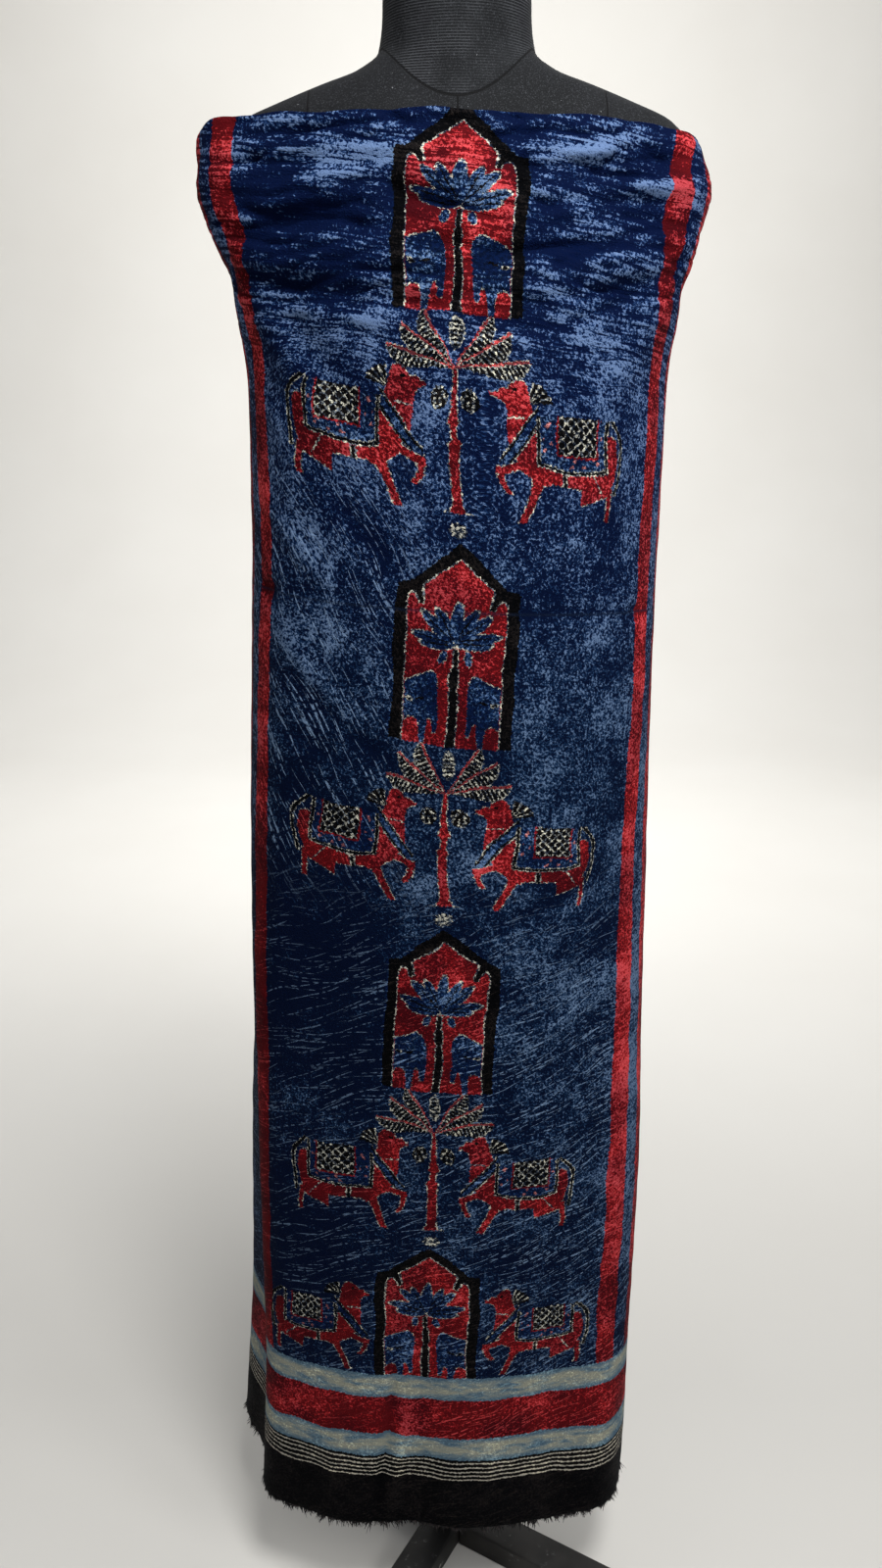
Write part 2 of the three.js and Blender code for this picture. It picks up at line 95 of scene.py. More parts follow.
class Shade:
    """One socket of a material."""

    def __init__(self, tree, socket=None):
        self.tree = tree
        self.socket = socket

    def node(self, kind, settings=None, sockets=None, out=0):
        made = self.tree.nodes.new(kind)
        for name, value in (settings or {}).items():
            if name == "points":
                place_points(made.mapping, value)
            else:
                setattr(made, name, value)
        for name, value in (sockets or {}).items():
            if isinstance(value, Shade):
                self.tree.links.new(value.socket, made.inputs[name])
            else:
                made.inputs[name].default_value = value
        return Shade(self.tree, made.outputs[out] if made.outputs else None)

    def math(self, operation, *terms):
        return self.node("ShaderNodeMath", {"operation": operation}, dict(enumerate((self,) + terms)))

    def vector(self, operation, *terms):
        return self.node("ShaderNodeVectorMath", {"operation": operation}, dict(enumerate((self,) + terms)))

    def length(self):
        return self.node("ShaderNodeVectorMath", {"operation": "LENGTH"}, {0: self}, out=1)

    def parts(self):
        split = self.node("ShaderNodeSeparateXYZ", None, {0: self}).socket.node
        return [Shade(self.tree, socket) for socket in split.outputs]

    def flat(self, colour):
        plain = self.node("ShaderNodeRGB")
        plain.socket.default_value = colour
        return plain

    __add__ = __radd__ = maths("ADD")
    __sub__ = maths("SUBTRACT")
    __mul__ = __rmul__ = __and__ = maths("MULTIPLY")
    __truediv__ = maths("DIVIDE")
    __mod__ = maths("FLOORED_MODULO")
    __abs__ = maths("ABSOLUTE")
    __lt__ = maths("LESS_THAN")
    __gt__ = maths("GREATER_THAN")
    __or__ = maths("MAXIMUM")
    least = maths("MINIMUM")
    near = maths("COMPARE")  # 1 within a reach of a centre

    def __rsub__(self, other):
        return self.math("MULTIPLY_ADD", -1.0, other)

    def between(self, low, high):
        return self.near((low + high) / 2, (high - low) / 2)

    def smooth(self, low, high):
        """Rises softly from 0 at low to 1 at high."""
        settings = {"interpolation_type": "SMOOTHSTEP"}
        return self.node("ShaderNodeMapRange", settings, {0: self, 1: low, 2: high})

    def mix(self, colour, mask):
        """This colour, changed to another where the mask is 1."""
        sockets = {0: mask, 6: self, 7: colour}
        return self.node("ShaderNodeMix", {"data_type": "RGBA"}, sockets, out=2)

    def curve(self, points):
        """Reads a drawn curve at this value. Both are from 0 to 1."""
        return self.node("ShaderNodeFloatCurve", {"points": points}, {"Value": self})

    def mapped(self, place=(0, 0), size=(1, 1), turn=0.0):
        """A place on the cloth seen from a centre, in units of a size, turned if asked."""
        sockets = {
            "Vector": self,
            "Location": (*place, 0),
            "Rotation": (0, 0, math.radians(turn)),
            "Scale": (*size, 1),
        }
        return self.node("ShaderNodeMapping", {"vector_type": "TEXTURE"}, sockets)

    def noise(self, size, detail=1.0, out=0, roughness=0.5, stretch=None, turn=0.0):
        """Cloudy noise with lumps of a size, stretched and turned if asked."""
        place = self.mapped(size=stretch, turn=turn) if stretch else self
        sockets = {"Vector": place, "Scale": 1 / size, "Detail": detail, "Roughness": roughness}
        return self.node("ShaderNodeTexNoise", {"noise_dimensions": "2D"}, sockets, out=out)

    def dots(self, scale):
        """Distance to the nearest of many scattered dots."""
        sockets = {"Vector": self, "Scale": scale}
        return self.node("ShaderNodeTexVoronoi", {"voronoi_dimensions": "2D"}, sockets)

    def bump(self, strength, distance):
        """This height as a bump, for a shader's normal."""
        sockets = {"Strength": strength, "Distance": distance, "Height": self}
        return self.node("ShaderNodeBump", None, sockets)


print("shader maths ready")

# %% [markdown]
# Every finish starts as an empty material and ends in one Principled shader, so two helpers do that.
# Another sets the points of a drawn curve. The last two turn a colour as a screen shows it into
# the linear values that a shader works with, and let one colour turn into another.

# %% Starting and ending a material


def place_points(mapping, points):
    curve = mapping.curves[0]
    for spot, (x, y) in zip(curve.points, (points[0], points[-1])):
        spot.location = (x, y)
    for x, y in points[1:-1]:
        curve.points.new(x, y)
    for spot in curve.points:
        spot.handle_type = "VECTOR"
    mapping.extend = "HORIZONTAL"
    mapping.update()


def new_material(name):
    material = bpy.data.materials.new(name)
    material.use_nodes = True
    material.node_tree.nodes.clear()
    return material, Shade(material.node_tree)


def finish_material(start, **sockets):
    """Ends a material in one Principled shader. Constants are set on its own sockets."""
    named = {name.replace("_", " "): value for name, value in sockets.items()}
    shader = start.node("ShaderNodeBsdfPrincipled", None, named)
    start.node("ShaderNodeOutputMaterial", None, {"Surface": shader})


def linear(red, green, blue):
    """A colour given as on a screen, 0 to 255, as the shader's own linear values."""
    shares = [value / 255 for value in (red, green, blue)]
    flat = [s / 12.92 if s <= 0.04045 else ((s + 0.055) / 1.055) ** 2.4 for s in shares]
    return (*flat, 1.0)


def two_tone(start, first, second, mask):
    """One colour turning into another where the mask is 1, both as on a screen."""
    return start.flat(linear(*first)).mix(linear(*second), mask)


print("mid grey is", round(linear(128, 128, 128)[0], 3), "in the shader")

# %% [markdown]
# The cloth hangs as a section that changes with height: a shallow arc across the front, a round
# corner on each side, and a straight run back to the selvedge. A simulation would drape it too, but
# its folds would lie elsewhere than on the real one, so a table holds the section at 13 heights. The
# same table shapes the solid. Lengths are in millimetres, as a maker would measure them.

# %% The drape
CLOTH_THICK = 2.0
CLOTH_LEFT = 350.0  # from the print's middle to each selvedge
CLOTH_RIGHT = 360.0
FOLD_HEIGHT = 1512.0  # of the top edge, at the middle
FOLD_SLANT = 0.02  # its drop for each millimetre to the right
TURN_IN = 40.0
LAYER_PITCH = 2.8  # between the face and the turned-in layer
HEM_HEIGHT = 134.0  # of the raw end, at the middle
HEM_SLANT = 0.03
PRINT_LEAN = 0.03  # the print's middle wanders sideways by this share of the height
PRINT_UPRIGHT_AT = 1380.0
# height, distance in front and half angle of the arc, then each side's reach, corner radius and turn
DRAPE_COLUMNS = ("z", "front", "bow", "reachL", "radiusL", "turnL", "reachR", "radiusR", "turnR")
DRAPE = [
    (100, 117, 15, 222, 44, 79, 188, 60, 97),
    (220, 116, 17, 212, 45, 79, 190, 54, 97),
    (340, 115, 19, 205, 46, 79.5, 190.5, 50, 97),
    (540, 115, 20.5, 203, 47, 81, 192.5, 56, 97),
    (720, 116, 25, 201, 50, 85, 190, 76, 97),
    (900, 117, 29, 199, 80, 87, 189, 98, 97),
    (1060, 117, 32, 194, 112, 90, 188, 114, 100),
    (1200, 117, 35, 188, 122, 96, 189, 121, 104),
    (1310, 116.8, 36, 186, 118, 104, 189, 117, 109),
    (1365, 113, 33, 190, 92, 112, 194, 88, 114),
    (1420, 106, 27, 203, 60, 122, 203, 60, 122),
    (1465, 96, 25, 218, 56, 131, 213, 56, 131),
    (1515, 82, 26, 218, 54, 136, 198, 54, 136),
]
print("drape:", len(DRAPE), "sections")

# %% [markdown]
# On top of the plain section lie the main folds, which the solid has too: slack pulled across the
# chest and under the arm caps, and upright flutes that open towards the raw end. Each fold has the
# place of its centre, its slope, length, width and lift. Each flute has its place, the height where
# it starts, its width, and its lift at the raw end.

# %% Main folds and flutes
FOLDS = [
    (-120, 1476, -0.03, 75, 9, -3.5),
    (-125, 1452, 0.04, 70, 10, 3),
    (-105, 1428, -0.05, 85, 10, -4),
    (-130, 1403, -0.1, 70, 12, 3.5),
    (-95, 1378, -0.12, 80, 11, -3),
    (125, 1470, 0.06, 70, 8, -3.5),
    (130, 1446, 0.02, 65, 8, -4),
    (115, 1424, 0.08, 75, 10, -3.5),
    (110, 1396, 0.16, 70, 11, 3),
    (0, 1462, 0, 55, 9, 2),
    (5, 1408, 0.03, 60, 10, -2),
    (-225, 1402, 0.5, 45, 16, -4),
    (215, 1392, -0.4, 45, 17, -3),
    (-150, 1335, -1.3, 75, 16, 4),
    (-112, 1318, -1.2, 70, 16, -4),
    (150, 1330, 1.4, 70, 18, 3.5),
]

FLUTES = [
    (-118, 760, 40, 6),
    (-45, 600, 26, -5),
    (15, 700, 34, 2),
    (108, 760, 34, -4),
    (160, 420, 30, 8),
    (-265, 1150, 34, -9),
    (-335, 1150, 38, 12),
    (265, 1150, 36, 9),
    (330, 1150, 38, -12),
]
FLUTE_GROWTH = 1.5
print(len(FOLDS), "folds and", len(FLUTES), "flutes")

# %% [markdown]
# The dress form is a pile of ellipses: a half width, and a depth to the front and to the back. Its
# table comes here, because the cloth must stay outside it.

# %% The form's table
FORM_COLUMNS = ("z", "half", "front", "back")
FORM = [
    (832, 158, 96, 108),
    (930, 171, 102, 121),
    (1000, 158, 96, 110),
    (1060, 136, 86, 92),
    (1115, 122, 79, 80),
    (1165, 125, 86, 80),
    (1225, 135, 100, 86),
    (1275, 143, 112, 93),
    (1312, 148, 115.3, 97),
    (1350, 153, 108, 101),
    (1385, 166, 98, 103),
    (1415, 184, 90, 101),
    (1445, 197, 83, 97),
    (1475, 201, 76, 94),
    (1500, 196, 68, 86),
    (1518, 180, 62, 78),
    (1530, 152, 58, 72),
    (1542, 119, 55, 67),
    (1553, 86, 53, 63),
    (1568, 65, 52, 60),
    (1595, 61, 52, 57),
    (1650, 60, 52, 56),
]
print("form:", len(FORM), "rings")

# %% [markdown]
# A table gives values at a few heights, and the shape needs them at any height. Straight lines
# between the rows would show as kinks, and a free curve could swing past them, so the reader draws
# curves through the rows that never overshoot.

# %% Reading the tables


def smooth_columns(names, rows):
    """Returns a reader of any column at any heights, on curves through the rows that never overshoot."""
    table = np.array(rows, float)
    heights = table[:, 0]
    step = np.diff(heights)[:, None]
    rise = np.diff(table, axis=0) / step
    product = rise[:-1] * rise[1:]
    safe = np.where(product > 0, rise[:-1] + rise[1:], 1.0)
    inner = np.where(product > 0, 2 * product / safe, 0.0)
    slopes = np.vstack([rise[:1], inner, rise[-1:]])

    def read(name, z):
        column = names.index(name)
        z = np.clip(z, heights[0], heights[-1])
        i = np.clip(np.searchsorted(heights, z) - 1, 0, len(heights) - 2)
        width = heights[i + 1] - heights[i]
        t = (z - heights[i]) / width
        low, high = table[i, column], table[i + 1, column]
        bend_low, bend_high = slopes[i, column] * width, slopes[i + 1, column] * width
        rest = 1 - t
        return (
            low * (1 + 2 * t) * rest**2 + bend_low * t * rest**2
            + high * t**2 * (3 - 2 * t) - bend_high * t**2 * rest
        )

    return read


drape_at = smooth_columns(DRAPE_COLUMNS, DRAPE)
form_at = smooth_columns(FORM_COLUMNS, FORM)
print("half width at the chest:", round(float(form_at("half", np.array([1312.0]))[0])), "mm")

# %% [markdown]
# The drape can now be worked out as a maker would pace it: so far round from the middle, at such a
# height. Arc lengths are kept, so the cloth neither stretches nor shrinks. A fold or a flute then
# lifts it off that section by a soft bump.

# %% From the flat cloth to the drape


def section_points(across, z):
    """Where the plain drape is at distances round from the middle, and which way it faces."""
    right = across >= 0
    along = np.abs(across)
    side = np.where(right, 1.0, -1.0)
    bow = np.radians(drape_at("bow", z))
    radius = np.where(right, drape_at("radiusR", z), drape_at("radiusL", z))
    turn = np.radians(np.where(right, drape_at("turnR", z), drape_at("turnL", z)))
    reach = np.where(right, drape_at("reachR", z), drape_at("reachL", z))
    front_radius = (reach - radius * (1 - np.sin(bow))) / np.sin(bow)
    corner_start = front_radius * bow
    corner_end = corner_start + radius * (turn - bow)
    past = np.maximum(along - corner_start, 0)
    heading = np.where(past > 0, np.minimum(bow + past / radius, turn), along / front_radius)
    front_heading = np.minimum(heading, bow)
    run = np.maximum(along - corner_end, 0)
    corner = past > 0
    x = front_radius * np.sin(front_heading) + run * np.cos(turn)
    x = x + np.where(corner, radius * (np.sin(heading) - np.sin(bow)), 0)
    y = front_radius * (1 - np.cos(front_heading)) - drape_at("front", z) + run * np.sin(turn)
    y = y + np.where(corner, radius * (np.cos(bow) - np.cos(heading)), 0)
    return side * x, y, side * np.sin(heading), -np.cos(heading)


def fold_lift(across, z, folds):
    """How far soft ridges and troughs lift the cloth off its plain section."""
    lift = np.zeros_like(across)
    for centre, height, slope, length, width, rise in folds:
        slant = math.hypot(1, slope)
        along = (across - centre + (z - height) * slope) / slant
        off = (z - height - (across - centre) * slope) / slant
        lift += rise * np.exp(-((off / width) ** 2) - (along / length) ** 4)
    return lift


def flute_lift(across, z):
    lift = np.zeros_like(across)
    for centre, top, width, rise in FLUTES:
        growth = np.clip((top - z) / (top - HEM_HEIGHT), 0, 1) ** FLUTE_GROWTH
        lift += rise * growth * np.exp(-(((across - centre) / width) ** 2))
    return lift


x, y, _, _ = section_points(np.array([-200.0, 0.0, 200.0]), np.array([800.0] * 3))
print("section at 800 mm:", np.round(x), np.round(y))

# %% [markdown]
# The finer creases are listed one by one, as the cloth shows them: drag lines between the arm caps,
# a packing crease across the waist, soft slanting folds on the left, and an upright crease at the
# raw end. Each is a soft trough or ridge with the place of its centre, its slope, length, width and
# lift, as the main folds have.

# %% The finer creases
CREASES = [
    # drag lines across the left of the chest
    (-150, 1499, 0.02, 60, 4.5, -2.2),
    (-70, 1490, -0.04, 55, 4, -2.0),
    (-145, 1487, -0.02, 50, 5, 2.4),
    (-165, 1464, 0.05, 45, 4, -2.4),
    (-80, 1464, -0.06, 50, 4, 2.2),
    (-160, 1440, -0.03, 48, 4.5, -2.7),
    (-75, 1440, -0.08, 40, 4, -2.0),
    (-90, 1416, -0.1, 55, 4.5, 2.8),
    (-165, 1418, -0.16, 40, 4.5, -2.7),
    (-60, 1393, -0.12, 45, 4, -2.1),
    (-150, 1388, -0.2, 45, 5, -3.0),
    (-110, 1362, -0.18, 55, 5, 2.4),
    # drag lines across the right of the chest
    (75, 1494, 0.05, 50, 4, -2.0),
    (150, 1492, 0.03, 55, 4.5, 2.3),
    (165, 1480, 0.1, 40, 3.5, -2.6),
    (95, 1479, 0.09, 48, 3.5, 2.3),
    (85, 1458, 0.07, 55, 4, -3.0),
    (160, 1459, 0.0, 45, 4, 2.6),
    (165, 1434, -0.06, 42, 4, -2.9),
    (90, 1437, 0.1, 55, 4, 2.4),
    (150, 1412, 0.05, 50, 4.5, -2.8),
    (80, 1410, 0.14, 45, 4, -2.2),
    (150, 1386, 0.22, 42, 5, -2.6),
    (75, 1380, 0.18, 50, 5, 2.0),
    (120, 1364, 0.3, 50, 5, -2.2),
    # short lines over the middle of the chest
    (0, 1484, 0.02, 40, 4, -1.7),
    (-10, 1440, -0.03, 45, 4.5, -2.0),
    (10, 1424, 0.05, 40, 4, 1.8),
    (-5, 1388, 0.0, 45, 5, -1.8),
    # the packing crease across the waist
    (-110, 1137, -0.045, 95, 3.0, -1.8),
    (75, 1122, -0.06, 105, 3.0, -1.6),
    (-186, 1136, -0.05, 14, 7, -4),
    (182, 1118, -0.05, 16, 7, -3),
    # soft slanting folds on the left of the waist
    (-140, 1250, -1.1, 70, 9, 2.2),
    (-105, 1215, -1.0, 80, 9, -2.1),
    (-150, 1180, -0.9, 55, 8, 1.9),
    (-125, 1060, -1.0, 60, 9, 2.0),
    (-95, 1020, -0.8, 60, 9, -1.9),
    (-150, 1010, -0.35, 55, 6, -1.8),
    # slanting folds that rise to the right, lower down
    (40, 905, 0.5, 90, 9, 1.3),
    (95, 860, 0.45, 80, 8, -1.2),
    (20, 780, 0.5, 90, 9, 1.2),
    (110, 740, 0.55, 80, 9, 1.2),
    (-60, 620, 0.45, 70, 9, -1.1),
    (70, 600, 0.5, 80, 9, 1.1),
    (-120, 555, -0.12, 70, 5, -1.3),
    # the upright crease through the end bands, and small puckers beside it
    (-72, 240, 9.0, 110, 5, -3.2),
    (-56, 230, 7.0, 90, 7, 2.4),
    (40, 215, 6.0, 60, 9, 1.2),
    (-130, 190, 5.0, 50, 10, 1.4),
    (95, 180, -6.0, 55, 10, 1.3),
]
print(len(CREASES), "creases")

# %% [markdown]
# Smooth noise adds the small unevenness that no one would place by hand. On the chest it is drawn out
# sideways into drag lines, some of them sharp grooves, and it grows shallow towards the arm caps, so
# that the outline stays calm.

# %% Small unevenness
CRUMPLE = 0.6  # height of the small unevenness all over
CRUMPLE_SIZE = 24.0
CHEST_FROM = 1325.0  # the drag lines fade out at this height
CHEST_FADE = 70.0
CALM_FROM = 175.0  # and grow shallow this far from the middle
CALM_FADE = 45.0
CALM_SHARE = 0.75
CHEST_LINES = [(95.0, 21.0, 4.2), (50.0, 9.5, 2.2)]  # length, pitch and height of the drag lines
CHEST_GROOVES = [(85.0, 24.0, 3.8), (60.0, 15.0, 2.6)]  # length, pitch and depth of the sharp ones
GROOVE_SHARE = 0.17
CHEST_WAVER = (45.0, 90.0, 9.0)  # a drag line wanders: over this width and height, and how far


def crumple_lift(across, z):
    """Small unevenness from smooth noise: all over, and drawn out sideways on the chest."""
    lift = np.empty_like(across)
    waver_width, waver_height, waver = CHEST_WAVER
    chest = np.clip((z - CHEST_FROM) / CHEST_FADE, 0, 1)
    chest = chest * (1 - CALM_SHARE * np.clip((np.abs(across) - CALM_FROM) / CALM_FADE, 0, 1))
    for i, (a, h, share) in enumerate(zip(across.flat, z.flat, chest.flat)):
        lift.flat[i] = CRUMPLE * noise.noise((a / CRUMPLE_SIZE, h / CRUMPLE_SIZE, 2.5))
        if share:
            level = h + waver * noise.noise((a / waver_width, h / waver_height, 4.5))
            for length, pitch, height in CHEST_LINES:
                lift.flat[i] += height * share * noise.noise((a / length, level / pitch, pitch))
            for length, pitch, depth in CHEST_GROOVES:
                off = abs(noise.noise((a / length, level / pitch, pitch + 0.5)))
                lift.flat[i] -= depth * share * max(1 - off / GROOVE_SHARE, 0)
    return lift


sample = crumple_lift(np.linspace(-150, 150, 31), np.full(31, 1440.0))
print("drag lines at 1440 mm:", np.round([sample.min(), sample.max()], 1))

# %% [markdown]
# Each point of the flat cloth is moved to where the drape puts it. Its top edge sags at the corners,
# and the raw end rises a little on the right. A trough that would reach the form is pushed back out
# of it, since real cloth lies on the form there.

# %% Hanging the cloth
CORNER_DROPS = [  # the top edge sags at its corners: where that starts, where it is full, how far
    (-212.0, -250.0, 8.0),
    (198.0, 242.0, 8.0),
]
EDGE_DROP = 4.0  # all of it lies this far below the straight line
CORNER_REACH = 60.0  # the sag fades out this far below the edge
EDGE_WAVES = [(23.0, 0.0, 1.0), (9.7, 1.0, 0.7)]  # waves of the top edge: length, start, height
HEM_CURL = (140.0, 205.0, 13.0)  # the raw end rises at its right: from here to there, and how far
HEM_CURL_REACH = 120.0
CLEARANCE = 1.4  # the middle of the sheet stays this far off the form


def ease(share):
    """A soft step from 0 to 1."""
    share = np.clip(share, 0, 1)
    return share * share * (3 - 2 * share)


def edge_sag(print_x, z):
    """How far the top edge lies below its straight line."""
    drops = [drop * ease((print_x - start) / (full - start)) for start, full, drop in CORNER_DROPS]
    sag = EDGE_DROP + sum(drops)
    sag = sag + sum(height * np.sin(print_x / length + start) for length, start, height in EDGE_WAVES)
    return sag * ease(1 - (FOLD_HEIGHT - z) / CORNER_REACH)


def hem_curl(print_x, z):
    start, full, lift = HEM_CURL
    return lift * ease((print_x - start) / (full - start)) * ease(1 - (z - HEM_HEIGHT) / HEM_CURL_REACH)


def keep_clear(x, y, z):
    """Pushes points out of the form where a trough would reach it."""
    half, front, back = (form_at(name, z) + CLEARANCE for name in FORM_COLUMNS[1:])
    depth = np.where(y < 0, front, back)
    share = np.hypot(x / half, y / depth)
    push = np.where((share < 1) & (z > FORM[0][0]), 1 / np.maximum(share, 0.5), 1.0)
    return x * push, y * push


def hang(print_x, z, inset, rise):
    """Where points of the flat cloth hang, and the lift of their creases, in millimetres."""
    hung = (FOLD_HEIGHT - z) / (FOLD_HEIGHT - HEM_HEIGHT)
    height = z - print_x * (FOLD_SLANT + (HEM_SLANT - FOLD_SLANT) * hung) - edge_sag(print_x, z)
    height = height + hem_curl(print_x, z)
    across = print_x + PRINT_LEAN * (height - PRINT_UPRIGHT_AT)
    x, y, out_x, out_y = section_points(across, height)
    relief = fold_lift(across, height, CREASES) + crumple_lift(across, height)
    lift = fold_lift(across, height, FOLDS) + flute_lift(across, height) + relief - inset
    x, y = keep_clear(x + out_x * lift, y + out_y * lift, height)
    return x, y, height + rise, relief


corner = hang(np.array([CLOTH_RIGHT]), np.array([HEM_HEIGHT]), 0.0, 0.0)
print("right corner of the raw end:", [round(float(value[0])) for value in corner[:3]])

# %% [markdown]
# A map in metres keeps each point's place on the flat print, so that the print follows every fold.
# The cloth isn't pulled straight: the print's rows drop towards the right, and its borders wander
# where the arm caps and the hips push them. Small tables hold that wandering by height, one for each
# stretch of the width, since a formula would need as many numbers.

# %% Where the print lies
# by place up the print, how steeply its rows drop to the right
WEFT_SLANT = [(0, 0.03), (196, 0.012), (330, 0.035), (530, 0.075), (900, 0.1), (1500, 0.1)]
# by height, how far the print has slipped downwards
PRINT_DRIFT = [
    (440, 0), (464, 2), (519, 6.5), (614, 1), (674, -2), (760, 0), (1150, 0), (1260, -6), (1335, -8),
    (1440, 1), (1455, 4), (1480, 11), (1500, 13),
]
# by height, how far each stretch of the print is pulled to the left: the borders and the middle first
LEFT_PULL = [
    (680, -4), (780, -1), (900, 1), (1046, 4), (1180, 0.5), (1222, 3.5), (1264, 5.5), (1304, 7.5),
    (1344, 4), (1382, 10), (1420, 10.5), (1457, 18),
]
MIDDLE_PULL = [
    (350, -1.5), (430, -1), (520, -3.4), (660, -3.3), (740, -5), (800, -8.5), (850, -5), (900, -2.4),
    (1080, -7.4), (1170, -10), (1215, -5), (1270, 0),
]
RIGHT_PULL = [
    (577, 0), (902, 4.5), (1046, -4), (1180, -1.5), (1264, -1.5), (1304, -0.5), (1344, 5), (1382, 8),
    (1420, 9), (1457, 8.5), (1490, 6), (1508, 1),
]
# then the rows of cows, near the palm and at their outer ends
RIGHT_NEAR = [
    (420, 0), (480, -1), (640, -1), (700, 0), (840, 0), (870, -2), (950, -2), (1000, 0), (1160, 0),
    (1230, -9), (1290, -9), (1340, 0),
]
RIGHT_FAR = [
    (420, 0), (480, -4), (640, -4), (700, 0), (840, 0), (870, -8), (950, -8), (1000, 0), (1160, 0),
    (1230, -12), (1290, -12), (1340, 0),
]
LEFT_FAR = [
    (420, 0), (480, 5), (640, 5), (700, 0), (840, 0), (870, 3), (950, 3), (1000, 0), (1160, 0),
    (1210, 6), (1310, 6), (1350, 0),
]
# and how steeply the left row of cows rises outwards
LEFT_RISE = [
    (830, 0), (865, 0.03), (960, 0.03), (1000, 0), (1150, 0), (1200, 0.11), (1320, 0.11), (1360, 0),
]
RISE_FROM = 30.0
SIDES_FROM = 110.0  # from here to there, the middle's pull gives way to a border's
SIDES_FULL = 165.0
ROW_START = 17.0  # a row of cows is pulled from here outwards
ROW_START_FADE = 18.0
ROW_TURN = 35.0  # its pull changes from near to far over this stretch
ROW_TURN_LONG = 70.0
ROW_END = 175.0  # and it is pulled up to here
ROW_END_FADE = 35.0


def read_table(rows, at):
    places, values = zip(*rows)
    return np.interp(at, places, values)


def print_place(print_x, height):
    """Where a point of the face lies on the print: across from its middle, up from the raw end."""
    border = ease((np.abs(print_x) - SIDES_FROM) / (SIDES_FULL - SIDES_FROM))
    edge = np.where(print_x < 0, read_table(LEFT_PULL, height), read_table(RIGHT_PULL, height))
    pull = read_table(MIDDLE_PULL, height) * (1 - border) + edge * border
    inner = ease((ROW_END - np.abs(print_x)) / ROW_END_FADE)
    outer = ease((np.abs(print_x) - ROW_TURN) / ROW_TURN_LONG)
    near, far = read_table(RIGHT_NEAR, height), read_table(RIGHT_FAR, height)
    right = (near + (far - near) * outer) * ease((print_x - ROW_START) / ROW_START_FADE)
    left = read_table(LEFT_FAR, height) * outer * (print_x < 0)
    pull = pull + (right + left) * inner
    risen = read_table(LEFT_RISE, height) * np.maximum(-print_x - RISE_FROM, 0) * inner
    up = height - HEM_HEIGHT - risen
    up = up + print_x * read_table(WEFT_SLANT, up) + read_table(PRINT_DRIFT, height)
    return print_x + pull, up


waist = print_place(np.array([0.0]), np.array([1120.0]))
print("print at the middle of the waist:", [round(float(value[0])) for value in waist])

# %% [markdown]
# The sheet starts as one flat grid, like cloth on a cutting table. Its columns run from selvedge to
# selvedge, and its rows from the raw end up to the fold and down inside to the turned-in end. The
# rows lie closer on the chest, because the drag lines there are fine.

# %% The rows of the sheet
ROW_STRETCHES = [  # up to a height at the middle of the print, in a number of rows
    (1330.0, 180),
    (1506.0, 68),
    (FOLD_HEIGHT, 4),
]
TURN_ROWS = 8
TURN_IN_ROWS = 8
FULL_LENGTH = FOLD_HEIGHT - HEM_HEIGHT + math.pi * LAYER_PITCH / 2 + TURN_IN


def row_table():
    """For each row of the grid: its height, how far it lies behind the face, and its rise."""
    rows = [(HEM_HEIGHT, 0.0, 0.0)]
    for top, count in ROW_STRETCHES:
        start = rows[-1][0]
        rows += [(start + (top - start) * (i + 1) / count, 0.0, 0.0) for i in range(count)]
    for i in range(1, TURN_ROWS + 1):
        angle = math.pi * i / TURN_ROWS
        half = LAYER_PITCH / 2
        rows.append((FOLD_HEIGHT, half * (1 - math.cos(angle)), half * math.sin(angle)))
    for i in range(1, TURN_IN_ROWS + 1):
        rows.append((FOLD_HEIGHT - TURN_IN * i / TURN_IN_ROWS, LAYER_PITCH, 0.0))
    return np.array(rows)


print(len(row_table()), "rows for", round(FULL_LENGTH), "mm of cloth")

# %% [markdown]
# Every point of the grid is now hung in its place. It keeps its place on the print, and how deep its
# crease is, which the velvet's finish reads to paint light on the ridges and shade in the troughs.
# Thickness comes from a modifier, which gives the inside a finish of its own and leaves the sheet easy
# to change.

# %% The cloth
CLOTH_MAP = "flat_metres"
# The crease map holds each point's lift, which paints light on ridges and shade in troughs.
CREASE_SHADE_MAP = "creases"  # 1 on the top of a crease, -1 at the bottom
CREASE_DEEP = 4.5  # millimetres of lift that count as 1
COLUMNS = 164


def mesh_object(name, bm, smooth=True):
    mesh = bpy.data.meshes.new(name)
    bm.to_mesh(mesh)
    bm.free()
    for polygon in mesh.polygons:
        polygon.use_smooth = smooth
    thing = bpy.data.objects.new(name, mesh)
    bpy.context.collection.objects.link(thing)
    return thing


